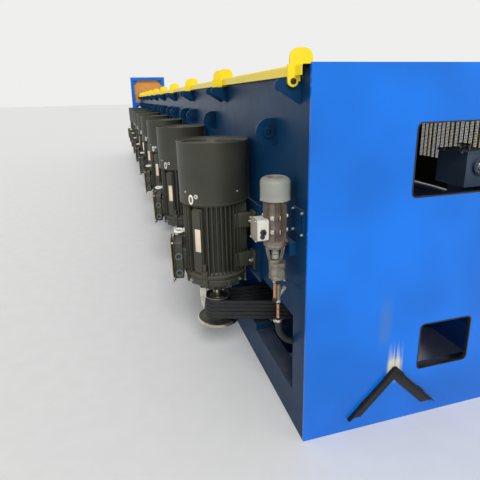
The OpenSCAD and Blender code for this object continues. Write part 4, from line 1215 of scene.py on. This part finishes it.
def neck_ring(bm):
    """Flange round the gearbox's neck on the deck."""
    turned(bm, spots("129,-1 178,-1 180,2 180,11 178,13 136,13 131,17 129,17", 0, DECK_Z))
    bolt_circle(bm, SCREW_8, 12, 0.158, DECK_Z + 0.012)


def roller_cap(bm):
    """Bearing cap, washer and bolt of a guide roller."""
    turned(bm, spots("0,3 22,3 26,1 27,-4", 0, ROLLER_TOP), steps=32)
    bolt_circle(bm, BOLT_10, 1, 0, ROLLER_TOP + 0.0025)
    bolt_circle(bm, SCREW_5, 4, 0.060, ROLLER_TOP - 0.0142, 45)


def die_fittings(bm):
    """Screws of the die holders, the lid's hinge barrels and its knobs."""
    axis_z = DIE_TOP - DIE_H / 2 + 0.020
    for side in (-1, 1):
        face = side * (DIE_L / 2 + 0.016)
        for a in (math.tau * k / 6 for k in range(6)):
            stamp(bm, SCREW_5, standing((face, 0.032 * math.cos(a), axis_z + 0.032 * math.sin(a)),
                                        (side, 0, 0)))
        studs(bm, [standing((face, 0, axis_z), (side, 0, 0))], "6,-10 6,1 7.5,3 18,3 20,1 20,-2")
        x = side * 0.060
        rod(bm, *spots("-16,-10,2 16,-10,2", x, -DIE_W / 2, DIE_TOP), 0.006, 14, edge=0.001)
        stamp(bm, BOLT_10, at(side * 0.080, DIE_W / 2 - 0.015, DIE_TOP + 0.008))
    for x in (-0.030, 0.030):
        rod(bm, (x, 0, DIE_TOP + 0.007), (x, 0, DIE_TOP + 0.030), 0.005, 12)
    rod(bm, *spots("-38,0,30 38,0,30", 0, 0, DIE_TOP), 0.006, 14, edge=0.001)


def gearbox_fittings(bm):
    """Foot bolts, oil glass and breather of a gearbox, on the side towards the rear wall."""
    flange, side = DECK_Z - 0.060, WALL_Y + 0.250
    for x in (-0.240, -0.120, 0.0, 0.120, 0.240):
        stamp(bm, BOLT_16, downward(x, 0, flange, side - 0.016))
    studs(bm, [standing((0.045, side, flange - 0.180), -Y_AXIS)], "0,3 12,3 13,8 20,8 23,5 23,-1")
    placed(bm, standing((-0.045, side, flange - 0.060), -Y_AXIS), rod, ORIGIN, (0, 0, 0.016), 0.012, 6,
           edge=0.001)


for name, material, maker, along, across in (
        ("capstan_bolts", ZINC, hub_bolts, 0, 0), ("neck_flanges", GEARBOX_PAINT, neck_ring, 0, 0),
        ("roller_caps", ZINC, roller_cap, 0.150 - PITCH / 2, -0.280),
        ("die_box_fittings", GROUND_STEEL, die_fittings, PITCH / 2 - 0.040 - DIE_L / 2, DIE_Y),
        ("gearbox_fittings", BRASS, gearbox_fittings, 0, 0)):
    copies(name, material, [(x + along, across) for x in BLOCK_X], maker)

# Far portal

bm, screws = bmesh.new(), bmesh.new()
low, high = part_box("exit_frame")
for y, inside in ((low.y + 0.045, 1), (high.y - 0.045, -1)):
    block(bm, (low.x - 0.020, y - 0.065, 0.0), (high.x - 0.001, y + 0.065, 0.012), 0.002)
    for z in (high.z - 0.090, FRAME_TOP - 0.300):
        outline = [(inside * u, v) for u, v in spots("45,0 155,0 155,-20 65,-110 45,-110")]
        placed(bm, standing((low.x + 0.041, y, z), X_AXIS), slab, outline, 0, 0.008, 0.001)
    for side in (-0.050, 0.050):
        stamp(screws, BOLT_16, at(low.x - 0.008, y + side, 0.012))
piece("portal_plates", bm, FRAME_PAINT)
low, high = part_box("exit_panel")
for y in (low.y + 0.018, high.y - 0.018):
    for k in range(6):
        z = low.z + 0.025 + (high.z - low.z - 0.050) * k / 5
        stamp(screws, BOLT_10, standing((high.x, y, z), X_AXIS))
piece("portal_bolts", screws, ZINC)

# Finishes of the CAD nodes that stay

NODE_FINISHES = {
    FRAME_PAINT: ["front_base_rail", "front_columns", "bulkheads", "deck", "front_panels", "exit_frame"],
    PLATE_PAINT: ["near_end_plate", "far_end_plate"],
    # The motor side's frame and fittings take the darker copy of the blue enamel: painted shade.
    PAINTED_SHADE_BLUE: ["rear_wall", "rear_base_rail", "rear_columns", "cross_sills", "wall_lugs",
                 "hinge_brackets", "motor_plates", "pump_bracket", "slotted_cover"],
    HOOD_PAINT: [f"guard_hood_{i}" for i in BLOCKS],
    GEARBOX_PAINT: ["gearboxes"],
    TURNED_IRON: ["gearbox_pulleys"],
    GROUND_STEEL: ["capstans", "guide_rollers"],
    BOX_PAINT: ["die_boxes"],
    HOSE_RUBBER: ["suction_hose"],
    TAN_SHEET: ["exit_panel"],
}
for material, names in NODE_FINISHES.items():
    for name in names:
        for slot in NODES[name].material_slots:
            slot.material = material

# Studio

bm = bmesh.new()
bmesh.ops.create_circle(bm, cap_ends=True, radius=150.0, segments=96)
mesh = bpy.data.meshes.new("studio_floor")
bm.to_mesh(mesh)
bm.free()
mesh.materials.append(studio_floor("pale_floor"))
floor = bpy.data.objects.new("studio_floor", mesh)
bpy.context.scene.collection.objects.link(floor)
floor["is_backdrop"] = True

world = bpy.data.worlds.new("soft_studio")
world.use_nodes = True
bpy.context.scene.world = world
sky = world.node_tree
plain, seen = sky.nodes["Background"], sky.nodes.new("ShaderNodeBackground")
plain.inputs["Color"].default_value = (1.0, 1.0, 1.0, 1.0)
plain.inputs["Strength"].default_value = 0.52
seen.inputs["Color"].default_value = (0.86, 0.86, 0.855, 1.0)
rays = sky.nodes.new("ShaderNodeLightPath")
mix = sky.nodes.new("ShaderNodeMixShader")
share = rays.outputs["Is Camera Ray"]
for kind in ("Is Glossy Ray", "Is Transmission Ray"):
    either = sky.nodes.new("ShaderNodeMath")
    either.operation = "MAXIMUM"
    sky.links.new(share, either.inputs[0])
    sky.links.new(rays.outputs[kind], either.inputs[1])
    share = either.outputs[0]
sky.links.new(share, mix.inputs[0])
sky.links.new(plain.outputs[0], mix.inputs[1])
sky.links.new(seen.outputs[0], mix.inputs[2])
sky.links.new(mix.outputs[0], sky.nodes["World Output"].inputs["Surface"])


def soft_sun(name, towards, strength, angle):
    """A wide, soft lamp from far away, which lights the whole row evenly."""
    lamp = bpy.data.lights.new(name, "SUN")
    lamp.energy = strength
    lamp.angle = math.radians(angle)
    made = bpy.data.objects.new(name, lamp)
    made.rotation_euler = Vector(towards).to_track_quat("-Z", "Y").to_euler()
    bpy.context.scene.collection.objects.link(made)


soft_sun("key_light", (-0.72, 0.10, -0.62), 1.95, 24)
soft_sun("fill_light", (0.1, 0.75, -0.45), 0.25, 60)

# Camera

PITCH_ANGLE, YAW_ANGLE, ROLL_ANGLE = (math.radians(angle) for angle in (15.5, 15.51, -1.25))
ahead = Vector((-math.cos(YAW_ANGLE) * math.cos(PITCH_ANGLE), math.sin(YAW_ANGLE) * math.cos(PITCH_ANGLE),
                -math.sin(PITCH_ANGLE)))
right = ahead.cross(Z_AXIS).normalized()
up = right.cross(ahead)
rolled_right = right * math.cos(ROLL_ANGLE) + up * math.sin(ROLL_ANGLE)
rolled_up = up * math.cos(ROLL_ANGLE) - right * math.sin(ROLL_ANGLE)
turn = Matrix((rolled_right, rolled_up, -ahead)).transposed().to_4x4()
lens = bpy.data.cameras.new("camera")
lens.sensor_width = 36
lens.lens = 31.34
lens.shift_y = -0.056
camera = bpy.data.objects.new("camera", lens)
camera.matrix_world = Matrix.Translation((NEAR_X + 1.521, WALL_Y - 0.715, 1.6175)) @ turn
bpy.context.scene.collection.objects.link(camera)
bpy.context.scene.camera = camera

bpy.context.scene.view_settings.view_transform = "Standard"

# Sizes

sizes = {name: [list(corner) for corner in box] for name, box in (("cad", CAD_BOX), ("new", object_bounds()))}
